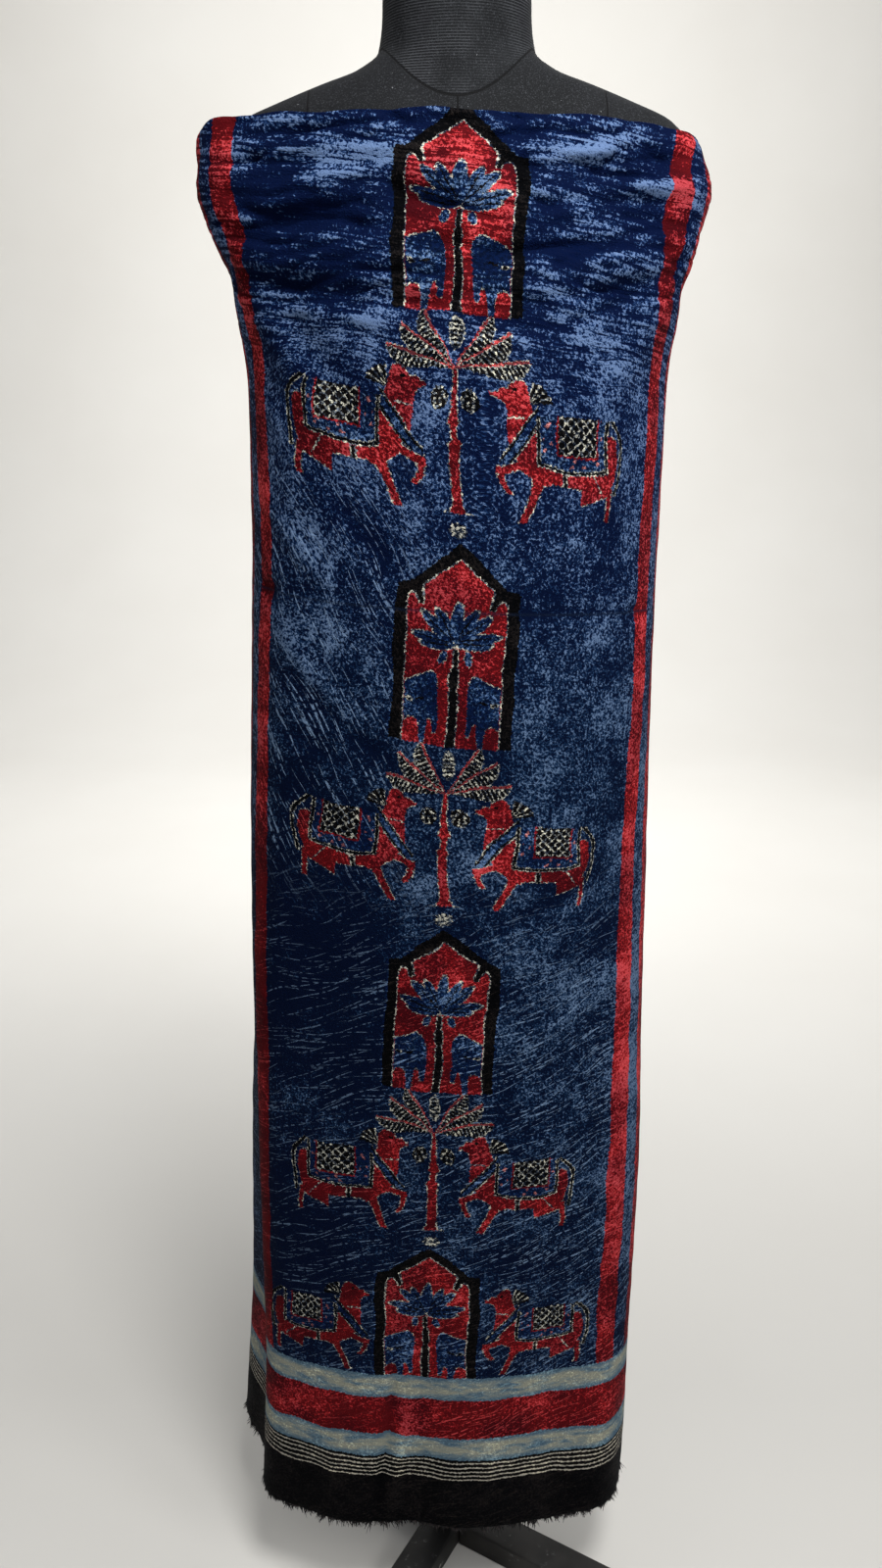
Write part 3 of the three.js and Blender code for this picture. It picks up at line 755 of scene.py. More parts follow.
def make_cloth():
    rows = row_table()
    bm = bmesh.new()
    bmesh.ops.create_grid(bm, x_segments=COLUMNS, y_segments=len(rows) - 1, size=0.5)
    grid = np.array([v.co for v in bm.verts])
    row_index = np.rint((grid[:, 1] + 0.5) * (len(rows) - 1)).astype(int)
    print_x = -CLOTH_LEFT + (grid[:, 0] + 0.5) * (CLOTH_LEFT + CLOTH_RIGHT)
    z, inset, rise = rows[row_index].T
    x, y, height, relief = hang(print_x, z, inset, rise)
    unfolded = height + 2 * np.where(inset > 0, FOLD_HEIGHT - z, 0)
    flat = np.stack(print_place(print_x, unfolded), 1)
    for vert, px, py, pz in zip(bm.verts, x, y, height):
        vert.co = (px / 1000, py / 1000, pz / 1000)
    layer = bm.loops.layers.uv.new(CLOTH_MAP)
    bm.verts.index_update()
    for face in bm.faces:
        for loop in face.loops:
            loop[layer].uv = flat[loop.vert.index] / 1000
    cloth = mesh_object("velvet_cloth", bm)
    crease_shade = cloth.data.attributes.new(CREASE_SHADE_MAP, "FLOAT", "POINT")
    crease_shade.data.foreach_set("value", np.clip(relief / CREASE_DEEP, -1, 1).astype(np.float32))
    thick = cloth.modifiers.new("thickness", "SOLIDIFY")
    thick.thickness = CLOTH_THICK / 1000
    thick.offset = 0.0
    thick.use_rim = True
    thick.material_offset = 1
    return cloth


cloth = make_cloth()
print("cloth:", len(cloth.data.polygons), "faces in the sheet")

# %% [markdown]
# The print is a repeat of an arch and a palm between two cows, with stripes down both borders and
# bands across the raw end. It is drawn as a block printer would cut it: flat shapes in red, black
# and ivory on an indigo ground. Each shape is a mask from simple maths on the flat cloth, so no
# picture is needed. The dyes themselves are uneven: ivory is only what the black and blue left bare.

# %% The dyes
MILLIMETRES = 1000.0
INDIGO_LOW = linear(15, 38, 66)
INDIGO_HIGH = linear(18, 42, 80)
INK_BLUE = linear(26, 54, 92)
INK_RED = linear(136, 22, 26)
INK_ROSE = linear(160, 72, 70)
INK_BLACK = linear(11, 9, 10)
IVORY = linear(190, 187, 170)
IVORY_LOST = linear(60, 64, 70)
PALE_BLUE = linear(84, 108, 122)
PALE_IVORY = linear(142, 142, 126)
LINE_IVORY = linear(166, 160, 146)
DOT_ROSE = linear(160, 96, 92)
RED_FADED = linear(112, 17, 24)
BLACK_WORN = linear(20, 17, 17)
BREAK_SIZE = 3.6  # millimetres, of the spots where a dye has broken up
FADE_SIZE = 60.0
BRIGHTER = (820.0, 1220.0)  # the indigo grows brighter between these heights


def cloth_place(start):
    """The place on the flat print, in millimetres."""
    flat = start.node("ShaderNodeUVMap", {"uv_map": CLOTH_MAP})
    return start.node("ShaderNodeVectorMath", {"operation": "SCALE"}, {0: flat, "Scale": MILLIMETRES})


def mix_dyes(place, up):
    broken = place.noise(BREAK_SIZE, detail=2.0, roughness=0.6)
    faded = place.noise(FADE_SIZE, detail=2.0)
    return {
        "ground": place.flat(INDIGO_LOW).mix(INDIGO_HIGH, up.smooth(*BRIGHTER)),
        "ivory": place.flat(IVORY_LOST).mix(IVORY, broken.smooth(0.45, 0.66)),
        "red": place.flat(INK_RED).mix(RED_FADED, faded.smooth(0.4, 0.6)),
        "rose": place.flat(INK_ROSE).mix(INK_RED, broken.smooth(0.42, 0.62)),
        "black": place.flat(INK_BLACK).mix(BLACK_WORN, broken.smooth(0.45, 0.7)),
        "blue": place.flat(INK_BLUE).mix(INDIGO_LOW, broken.smooth(0.4, 0.62)),
        "line": LINE_IVORY,
        "dot": DOT_ROSE,
    }


def overprint(ink, dyes, *layers):
    """Prints layers over an ink in turn. Each is the name of a dye, and a mask of where it goes."""
    for dye, mask in layers:
        ink = ink.mix(dyes[dye], mask)
    return ink


print("indigo in the shader:", [round(value, 3) for value in INDIGO_LOW[:3]])

# %% [markdown]
# Two red stripes run down each border. Bands cross the raw end: thin pale lines on black, and above
# them red between two pale bands that fade towards their edges. Each is a comparison with the
# distance across or up, as a printer would rule it.

# %% Border stripes and end bands
STRIPES = [(-194, -172), (-236, -214), (183, 205), (225, 247)]  # red, left and right borders
LINE_BAND = (64.0, 91.0)  # thin pale lines on black, above the raw end
LINE_PITCH = 5.6
LINE_WIDTH = 1.5
LOWER_PALE = (91.0, 119.0)
END_RED = (119.0, 168.0)
UPPER_PALE = (168.0, 196.0)
PALE_HALF = 14.0
PALE_CLOUD = (34.0, 9.0)  # size of the clouds in a pale band


def border_inks(ink, dyes, across):
    return overprint(ink, dyes, *[("red", across.between(*stripe)) for stripe in STRIPES])


def end_inks(ink, dyes, place, up):
    lines = ((up - LINE_BAND[0]) % LINE_PITCH) < LINE_WIDTH
    ink = overprint(ink, dyes, ("black", up < LINE_BAND[1]), ("line", lines & up.between(*LINE_BAND)))
    off = abs(up - sum(LOWER_PALE) / 2).least(abs(up - sum(UPPER_PALE) / 2))
    core = (1 - off * (1 / PALE_HALF)).smooth(0.05, 0.6)
    cloud = place.noise(1.0, detail=3.0, roughness=0.65, stretch=PALE_CLOUD)
    pale = place.flat(PALE_BLUE).mix(PALE_IVORY, core & cloud.smooth(0.28, 0.64))
    ink = ink.mix(pale, up.between(LOWER_PALE[0], UPPER_PALE[1]))
    return ink.mix(dyes["red"], up.between(*END_RED))


print("red stripes:", STRIPES, "and end band:", END_RED)

# %% [markdown]
# Two helpers draw most of the motifs. An outline is a drawn curve, such as a half width at each
# height, so that one comparison fills it. A curve can't go below 0, so it is raised by a few
# millimetres and sunk again once it is read: a value of -5 then means that there is nothing. A leaf
# is a stretched and turned circle, which needs only five numbers.

# %% Outlines and leaves
SINK = 6.0


def profile(at, points, span):
    """A drawn outline at each value, in millimetres."""
    raised = [(x / span, (y + SINK) / span) for x, y in points]
    return (at * (1 / span)).curve(raised).math("MULTIPLY_ADD", span, -SINK)


def leaf_field(place, leaves):
    """Smallest distance to the leaves, as a share of each leaf's own size."""
    field = None
    for x, y, half_length, half_width, turn in leaves:
        spot = place.mapped((x, y), (half_length, half_width), turn).length()
        field = spot if field is None else field.least(spot)
    return field


def on_block(side, rise):
    return side.node("ShaderNodeCombineXYZ", None, {0: side, 1: rise})


print("a leaf's edge lies at 1, and an outline is sunk by", SINK, "mm")

# %% [markdown]
# Inside each arch two elephants face a lotus tree. Both halves are alike, so the distance from the
# middle is taken without its sign, and only one elephant is drawn. It lies between a curve for its
# back and one for its belly, which also leaves out what shows between the legs and the trunk.

# %% The elephants
ARCH_SPAN = 180.0  # the arch's curves run up to here
ELEPHANT_EYE = (37, 40, 3.4, 1.7, 15)
ELEPHANT_BROW = (27, 41, 4.5, 1.2, -12)
ELEPHANT_BACK = [
    (0, -5), (9, -5), (10, 10), (11, 48), (12.5, 57), (15, 62), (19, 65), (23, 63.5), (28, 61),
    (36, 58), (43, 55), (180, 55),
]
ELEPHANT_BELLY = [
    (0, 60), (11, 60), (12, 11), (16, 11), (17, 20), (19, 23), (21, 22), (22, 10), (23, 0), (28, 0),
    (29, 14), (31, 20), (35, 22), (39, 21), (41, 18), (43, 18), (180, 18),
]


def elephant_inks(ink, dyes, side, rise, inside):
    back = profile(side, ELEPHANT_BACK, ARCH_SPAN) - rise
    beast = back.least(rise - profile(side, ELEPHANT_BELLY, ARCH_SPAN))
    place = on_block(side, rise)
    eye = leaf_field(place, [ELEPHANT_EYE])
    brow = leaf_field(place, [ELEPHANT_BROW])
    return overprint(
        ink, dyes,
        ("ivory", beast.between(-0.5, 0.5) & inside),
        ("blue", (beast > 0.4) & inside),
        ("black", eye.least(brow) < 1.0),
        ("ivory", eye.between(0.7, 1.1) & inside),
    )


print("elephant:", max(height for _, height in ELEPHANT_BACK), "mm high")

# %% [markdown]
# The lotus tree has a turned trunk, which is an outline, and a crown of leaves with an ivory line
# round each and a dark vein. Single leaves are easier to place and turn than one outline of them all.

# %% The lotus tree
NICHE = (0.0, 163.0)  # the heights of the arch's inside
TREE_TRUNK = [
    (0, 3.4), (10, 2.8), (20, 3.4), (34, 3.2), (48, 2.8), (50, 1.4), (53, 3.2), (62, 3.4), (67, 2.8),
    (69, 1.3), (72, 2), (84, 1.5), (86, -5), (180, -5),
]
# leaves of the tree's crown: centre, half length, half width and turn, on the right side
TREE_LEAVES = [
    (0, 107, 18, 5.4, 90),
    (9, 105, 16, 4.6, 62),
    (15, 103, 18, 5.0, 42),
    (20, 94, 18, 4.6, 12),
    (16, 89, 15, 5.0, 4),
]
LEAF_EDGE = 1.13  # the ivory line round a leaf, as a share of its size
VEIN_HALF = 0.7
DROP = (11.0, 77.0, 5.5, 3.4, -75.0)


def tree_inks(ink, dyes, side, rise, inside):
    trunk = profile(rise, TREE_TRUNK, ARCH_SPAN) - side
    niche = rise.between(*NICHE)
    place = on_block(side, rise)
    leaf = leaf_field(place, TREE_LEAVES + [DROP])
    veins = [(x, y, length, VEIN_HALF, turn) for x, y, length, _, turn in TREE_LEAVES[1:]]
    return overprint(
        ink, dyes,
        ("ivory", (trunk > -1.0) & niche),
        ("black", (trunk > 0.0) & niche),
        ("ivory", (leaf < LEAF_EDGE) & inside),
        ("blue", leaf < 1.0),
        ("black", leaf_field(place, veins) < 1.0),
    )


print("tree:", len(TREE_LEAVES), "leaves in half of its crown")

# %% [markdown]
# The arch itself is one tall niche with a pointed top. Its outer and inner outlines make a black
# frame, with a blue line outside, an ivory line inside, and red within.

# %% The arch
OUTLINE = 1.1  # width of the ivory line that a block leaves round a shape
BLUE_EDGE = 1.6  # width of the blue line round the arch
POINT = (124.0, 163.0)  # the heights of its pointed top, where the ivory line is wider
POINT_LINE = 2.2
ARCH_OUTER = [
    (0, -5), (0.5, 53), (133, 53), (136, 52), (138, 41), (142, 37), (148, 30), (158, 19), (171, 1),
    (172, -5), (180, -5),
]
ARCH_INNER = [
    (0, 42), (117, 42), (119, 37), (120.5, 27), (125, 26.5), (131, 28), (136, 29), (139, 27),
    (143, 20.5), (146, 17.5), (149, 12), (159, 0), (160, -5), (180, -5),
]
ARCH_CORNER = (36.5, 117, 11, 5.0, 80)  # the red that fills each upper corner


def arch_inks(ink, dyes, side, rise):
    """Side is the distance from the arch's middle, and rise the height above its foot."""
    outer = profile(rise, ARCH_OUTER, ARCH_SPAN) - side
    inner = profile(rise, ARCH_INNER, ARCH_SPAN) - side
    niche = rise.between(*NICHE)
    corner = leaf_field(on_block(side, rise), [ARCH_CORNER])
    ink = overprint(
        ink, dyes,
        ("blue", outer > -BLUE_EDGE),
        ("black", outer > 0.0),
        ("ivory", ((inner > -OUTLINE) & niche) | (corner < 1.2)),
        ("ivory", inner.between(-POINT_LINE, 0.0) & rise.between(*POINT)),
        ("red", ((inner > 0.0) & niche) | (corner < 1.0)),
    )
    inside = (inner > 0.4) & niche
    ink = elephant_inks(ink, dyes, side, rise, inside)
    return tree_inks(ink, dyes, side, rise, inside)


print("arch:", 2 * ARCH_OUTER[1][1], "mm wide")

# %% [markdown]
# The palm's fronds are one shape at three angles on each side, so they are drawn once in polar form:
# the angle is folded into one frond's share, and the distance from the crown runs along the frond.
# Each has a red rib on its upper edge and a barbed blade that hangs below it.

# %% The palm
PALM_FOOT = 194.0  # heights above the arch's foot
PALM_CROWN = 300.5
PALM_TRUNK = [
    (0, -5), (0.5, 6.5), (4, 6.5), (6, 4.2), (46, 4), (50, 5), (52, 5.3), (54, 2.4), (64, 2.3),
    (66, 4.5), (68, 4.5), (73, 2.6), (90, 2), (106, 1.6), (108, -5), (180, -5),
]
FROND_LOWEST = 20.0  # degrees above level
FROND_STEP = 20.5
FROND_OPEN = 18.5  # degrees that a blade may hang below its rib
FROND_SAG = 0.0025
FROND_LENGTH = (61.0, -0.1)  # of a level frond, and how it changes for each degree
FROND_DEPTH = 0.24  # of a blade, as a share of its frond's length
FROND_SHAPE = [(0, 0.1), (0.15, 0.3), (0.4, 0.75), (0.65, 1), (0.85, 0.7), (1, 0.1)]
BARB_PITCH = 3.7
TOP_LEAF = (0, 327, 14, 6.0, 90)
BUNCH = (13, 278, 7.5, 9.0, 0)  # a bunch of fruit
FRUIT_SCALE = 0.3
FRUIT_REACH = 0.34
FOOT_TICK = (10.0, 3.0, 1.0, 0.7)  # a short line at the foot: middle, half length, rise, half width
DEGREES = 180 / math.pi


def polar(side, rise):
    return on_block(side, rise).length(), rise.math("ARCTAN2", side) * DEGREES


def frond_inks(ink, dyes, side, rise):
    far, angle = polar(side, rise - PALM_CROWN + side * side * FROND_SAG)
    lean = ((angle - FROND_LOWEST + FROND_OPEN) % FROND_STEP) - FROND_OPEN
    length = (angle - lean).math("MULTIPLY_ADD", FROND_LENGTH[1], FROND_LENGTH[0])
    share = far / length
    off = lean * far * (1 / DEGREES)
    depth = share.curve(FROND_SHAPE) * length * FROND_DEPTH
    fan = angle.between(FROND_LOWEST - FROND_OPEN, FROND_LOWEST + 2 * FROND_STEP + 2) & (share < 1.0)
    blade = (off + depth) & fan
    hanging = (blade > 0.0) & (off < 0.0)
    barbs = ((far + off * 0.3) % BARB_PITCH) < BARB_PITCH * 0.36
    return overprint(
        ink, dyes,
        ("black", hanging),
        ("ivory", hanging & (barbs | (blade < 1.1))),
        ("ivory", off.near(0.2, 1.5) & fan),
        ("rose", off.near(0.2, 1.0) & fan),
    )


def palm_inks(ink, dyes, side, rise):
    trunk = profile(rise - PALM_FOOT, PALM_TRUNK, ARCH_SPAN) - side
    place = on_block(side, rise)
    bunch = leaf_field(place, [BUNCH]) < 1.0
    leaf = leaf_field(place, [TOP_LEAF])
    barbs = (rise % BARB_PITCH) < BARB_PITCH * 0.5
    middle, half_length, lift, half_width = FOOT_TICK
    ink = overprint(
        ink, dyes,
        ("ivory", trunk > -0.9),
        ("red", trunk > 0.0),
        ("ivory", side.near(middle, half_length) & rise.near(PALM_FOOT + lift, half_width)),
        ("black", bunch),
        ("ivory", (place.dots(FRUIT_SCALE) < FRUIT_REACH) & bunch),
        ("black", leaf < 1.0),
        ("ivory", leaf.between(0.8, 1.0) | (barbs & (leaf < 0.8))),
    )
    return frond_inks(ink, dyes, side, rise)


print("palm:", round(PALM_CROWN - PALM_FOOT), "mm from foot to crown")

# %% [markdown]
# A small rosette stands between an arch and the palm above it. Like the fronds it is drawn in polar
# form: the angle is folded into one petal's share, so that one petal makes all eight.

# %% The rosette
ROSETTE_HEIGHT = 181.0
ROSETTE_REACH = 8.5
ROSETTE_FLAT = 1.3
ROSETTE_STEP = 45.0
PETAL_HALF = 1.7


def rosette_inks(ink, dyes, side, rise):
    far, angle = polar(side, (rise - ROSETTE_HEIGHT) * ROSETTE_FLAT)
    folded = abs(((angle + 0.5 * ROSETTE_STEP) % ROSETTE_STEP) - 0.5 * ROSETTE_STEP)
    petal = (folded * far * (1 / DEGREES)) < PETAL_HALF
    return overprint(
        ink, dyes,
        ("black", far < ROSETTE_REACH - 1),
        ("ivory", petal & far.between(1.2, ROSETTE_REACH)),
    )


print("rosette:", round(360 / ROSETTE_STEP), "petals")

# %% [markdown]
# The cows face the palm from both sides, so one drawing serves both, as with the arch. The body lies
# between two curves, one for the back and one for the belly. Each leg is a curve of its own with a
# width, so it can bend.

# %% The cow's outline
COW_SPAN = 120.0
COW_STRETCH = 1.05
COW_BACK = [
    (0, 95), (3, 99), (8, 98.5), (10, 102), (14, 105), (19, 106), (22, 103), (24, 96), (26, 84),
    (30, 79), (33, 72), (90, 72), (90.5, 66), (93, 68), (99, 65), (100.5, 52), (102, 30), (120, 30),
]
COW_BELLY = [
    (0, 92), (3, 90), (6, 86), (6.3, 60), (6.8, 56), (10, 50), (14, 44), (16, 38), (22, 34), (30, 26),
    (36, 26), (40, 28.5), (60, 27.5), (66, 27), (66.8, 14.5), (80, 18.5), (92, 23), (93, 28), (97, 36),
    (99.5, 45), (101.5, 56), (103, 60), (120, 60),
]
# each limb's middle and half width, along its own run
FORELEG = ([(0, 18), (23, 28), (28, 30), (120, 30)], [(0, 3), (20, 3.3), (30, 4.8), (31, -5), (120, -5)])
HINDLEG = (
    [(0, 95.5), (3.5, 96), (12, 96.3), (20, 95), (28, 94), (120, 94)],
    [(0, -5), (2.5, -5), (3.5, 2), (20, 2.2), (30, 2.8), (31, -5), (120, -5)],
)
THIGH = (
    [(0, 36.5), (5, 38), (10, 40), (16, 42), (120, 42)],
    [(0, 3), (16, 3.4), (20, 3), (21, -5), (120, -5)],
)
SHANK = (
    [(0, 7), (20, 6), (25, 2.5), (31, 0.8), (36, 1.5), (120, 1.5)],
    [(0, -5), (18, -5), (19, 2.2), (36, 2.4), (39, 2), (40, -5), (120, -5)],
)
TAIL = (
    [(0, 100.8), (25, 100.8), (28, 101), (45, 104.5), (60, 105.8), (67, 104.5), (72, 100.5), (78, 94),
     (81, 91), (120, 91)],
    [(0, -5), (24, -5), (25, 1.2), (60, 1.1), (67, 2), (80, 2), (81, -5), (120, -5)],
)


def limb(at, across, middle_and_width):
    """Positive on a limb whose middle and width follow a coordinate."""
    middle, width = middle_and_width
    return profile(at, width, COW_SPAN) - abs(across - profile(at, middle, COW_SPAN))


def cow_body(x, y):
    back = profile(x, COW_BACK, COW_SPAN) - y
    body = back.least(y - profile(x, COW_BELLY, COW_SPAN))
    return body | limb(y, x, FORELEG) | limb(y, x, HINDLEG) | limb(x, y, THIGH) | limb(y, x, SHANK)


print("cow:", round(COW_SPAN * COW_STRETCH), "mm of block")

# %% [markdown]
# The cow's block adds a fan of horns and ears, drawn in polar form, and a garland, which is a slanting
# band round the neck. The body, the tail and the garland each have a line of ivory round them, where
# the printer's resist leaves the cloth pale. The last pair stands beside the lowest arch.

# %% Printing the cows
COW_NOSE = 28.0  # from the middle of the print
COW_FEET = PALM_FOOT  # above the arch's foot
LAST_COW_NOSE = 61.5  # the last pair stands beside the lowest arch
LAST_COW_FEET = 200.0  # above the raw end
LAST_COWS_BELOW = 345.0
BLOCK_WIDE = (-3, 110)  # the block that a cow is cut on
BLOCK_HIGH = (-1, 110)
GARLAND = (0.786, -0.618, 24.6)  # a slanting band: weights of the two directions, and its place
GARLAND_HIGH = (43, 86)
GARLAND_WIDE = (-1, 31)
FAN = (23.5, 87.0)  # where the horns and ears spread from
FAN_REACH = (3, 18)
FAN_OPEN = (6, 80)  # degrees
FAN_STEP = 19.0
FAN_LINE = 6.0
COLLAR = (76.5, 0.6, 6, 19)  # a short line: its height, half width, start and end
COW_EYE = (13, 98, 2.0, 1.5, 0)


def cow_place(side, rise, up):
    """Where a point lies on a cow's block: from its nose, and from its feet."""
    last = up < LAST_COWS_BELOW
    x = (side - COW_NOSE - last * (LAST_COW_NOSE - COW_NOSE)) * (1 / COW_STRETCH)
    regular = rise - COW_FEET
    return x, regular + last * (up - LAST_COW_FEET - regular)


def cow_inks(ink, dyes, x, y):
    inside = x.between(*BLOCK_WIDE) & y.between(*BLOCK_HIGH)
    body = cow_body(x, y)
    tail = limb(y, x, TAIL)
    far, angle = polar(x - FAN[0], y - FAN[1])
    fan = far.between(*FAN_REACH) & angle.between(*FAN_OPEN)
    garland = abs(x * GARLAND[0] + y * GARLAND[1] + GARLAND[2])
    neck = y.between(*GARLAND_HIGH) & x.between(*GARLAND_WIDE)
    height, half, start, end = COLLAR
    return overprint(
        ink, dyes,
        ("ivory", (body > -0.8) & inside),
        ("red", (body > 0.0) & inside),
        ("ivory", (tail > -0.9) & inside),
        ("black", (tail > 0.0) & inside),
        ("black", fan),
        ("ivory", fan & ((angle % FAN_STEP) < FAN_LINE)),
        ("ivory", (garland < 4.9) & neck),
        ("black", (garland < 4.1) & neck),
        ("blue", (garland < 2.4) & neck),
        ("ivory", y.near(height, half) & x.between(start, end)),
        ("black", leaf_field(on_block(x, y), [COW_EYE]) < 1.0),
    )


print("from nose to nose:", 2 * COW_NOSE, "mm")

# %% [markdown]
# On each cow's back lies a bordered blanket with a sagging lower edge. Lines of ink follow that edge
# inwards, so one distance to it places them all. A netted square lies on the blanket, and a girth
# and a hip line hold it.

# %% The blanket
BLANKET = (59.5, 30.5, 37.5)  # middle, half width and lowest edge
BLANKET_SAG = 0.0038
BLANKET_TOP = 79.0
DOT_SCALE = 0.125
DOT_REACH = 0.17
DOT_RING = (5.5, 12.5)  # dots lie this far inside the edge
SQUARE = (62.5, 16.5, 66.0, 14.0)  # the netted square: middle, half width, middle height, half height
SQUARE_LINE = 1.5
NET_PITCH = 5.6
NET_LINE = 1.2
GIRTH = 50.0
GIRTH_HIGH = (27, 37.5)
HIP_LINE = (80.5, 31, 10, 0.7, -51)


def netted(x, y):
    turned = math.sqrt(0.5)
    net = (((x + y) * turned) % NET_PITCH) < NET_LINE
    return net | ((((x - y) * turned) % NET_PITCH) < NET_LINE)


def blanket_inks(ink, dyes, x, y):
    middle, half, low = BLANKET
    off = abs(x - middle)
    edge = (half - off).least(y - off * off * BLANKET_SAG - low)
    laid = y < BLANKET_TOP
    place = on_block(x, y)
    middle, half, height, half_height = SQUARE
    square = (half - abs(x - middle)).least(half_height - abs(y - height))
    girth = abs(x - GIRTH)
    strapped = y.between(*GIRTH_HIGH)
    return overprint(
        ink, dyes,
        ("ivory", (edge > 0.0) & laid),
        ("black", (edge > 0.9) & laid),
        ("ivory", (edge > 2.9) & laid),
        ("blue", (edge > 3.6) & laid),
        ("dot", (place.dots(DOT_SCALE) < DOT_REACH) & edge.between(*DOT_RING) & laid),
        ("red", square.between(-SQUARE_LINE, 0.0) & (y < height + half_height)),
        ("black", square > 0.0),
        ("ivory", (square > 0.0) & netted(x, y)),
        ("ivory", (girth < 2.4) & strapped),
        ("black", (girth < 1.2) & strapped),
        ("ivory", leaf_field(place, [HIP_LINE]) < 1.0),
    )


print("blanket:", 2 * BLANKET[1], "mm wide")

# %% [markdown]
# All the motifs come together here. The dyes bleed a little into the pile, and the cloth was never
# quite still under the block, so the place where ink lands is first shaken by two noises, a fine one
# and a broad one. Then the blocks print in turn: arch, rosette, palm, cows, borders and end bands.

# %% The whole print
REPEAT = 344.0
FIRST_ARCH_FOOT = 188.5  # above the raw end
BLEED = 3.2
BLEED_SIZE = 2.2
SHAKE = 7.0
SHAKE_SIZE = 42.0


def printed_ink(place, up):
    soft = place.noise(BLEED_SIZE, detail=1.0, out=1)
    wobble = place.noise(SHAKE_SIZE, detail=1.0, out=1)
    centred = (BLEED + SHAKE) / 2
    bled = soft.vector("MULTIPLY_ADD", (BLEED, BLEED, 0), place)
    shaken = wobble.vector("MULTIPLY_ADD", (SHAKE, SHAKE, 0), bled)
    inked_across, inked_up, _ = shaken.vector("SUBTRACT", (centred, centred, 0)).parts()
    rise = (inked_up - FIRST_ARCH_FOOT) % REPEAT
    side = abs(inked_across)
    dyes = mix_dyes(place, up)
    ink = arch_inks(dyes["ground"], dyes, side, rise)
    ink = rosette_inks(ink, dyes, side, rise)
    ink = palm_inks(ink, dyes, side, rise)
    x, y = cow_place(side, rise, inked_up)
    ink = cow_inks(ink, dyes, x, y)
    ink = blanket_inks(ink, dyes, x, y)
    ink = border_inks(ink, dyes, inked_across)
    return end_inks(ink, dyes, place, inked_up)


print("print repeats every", REPEAT, "mm")

# %% [markdown]
# Crushed velvet has pile that lies every way. Where it leans towards the light it shines pale, and
# elsewhere it drinks the light. So the finish has fine flecks in clouds, drawn out into slanting
# streaks lower down. Broad patches of painted light and shade lie over them: paler across the top of
# the chest and down the right, darker low on the left. A hair system could stand for the pile, but
# millions of hairs would be needed, and noise looks the same from here.

# %% How the pile lies
LIGHT_AND_SHADE_PATCHES = [  # across, up, half width, half height, and how much paler painted light makes it there (below 0, painted shade)
    (-105, 1352, 140, 30, 0.13),
    (-105, 1268, 125, 44, -0.17),
    (130, 1330, 95, 60, 0.05),
    (20, 1262, 90, 30, -0.06),
    (-130, 1185, 100, 60, 0.09),
    (140, 1205, 85, 60, 0.08),
    (125, 960, 100, 130, 0.05),
    (-130, 960, 90, 85, 0.05),
    (-130, 815, 110, 60, -0.1),
    (-130, 705, 120, 110, -0.2),
    (0, 900, 70, 120, -0.06),
    (-120, 600, 130, 160, -0.27),
    (0, 600, 80, 150, -0.06),
    (130, 520, 110, 200, 0.03),
    (-140, 330, 110, 170, -0.3),
    (207, 740, 50, 640, 0.12),
    (200, 500, 45, 280, 0.16),
]
# streaks across the chest: their length, width and turn. The second paints the shadows of fine drag lines.
LEVEL = (30.0, 4.2, -3.0)
DRAG_SHADOWS = (58.0, 2.7, -3.0)
STREAK_BEND = 15.0
STREAK_BEND_SIZE = 80.0
# how much each unevenness turns the pile to the light
FINE_SHARE = 1.1
TUFT_SHARE = 0.5
CLOUD_SHARE = 0.6
LEVEL_SHARE = 0.7
# painted shadows of the fine drag lines on the chest
DRAG_SHADOW_SHARE = 0.26
WORM_SHARE = 0.2
# painted light on the ridges of creases and painted shade in their troughs
CREASE_SHADE_SHARE = 0.42
# painted light on the chest, which faces up into more light
CHEST_PAINTED_LIGHT = 0.05
ALL_DARKER = 0.72


def bent_place(place):
    """The place on the cloth, bent a little, so that streaks don't run dead straight."""
    bend = place.noise(STREAK_BEND_SIZE, detail=1.0, out=1)
    return bend.vector("MULTIPLY_ADD", (STREAK_BEND, STREAK_BEND, 0), place)


def streaks(place, length, width, turn):
    return place.noise(1.0, detail=1.0, stretch=(length, width), turn=turn)


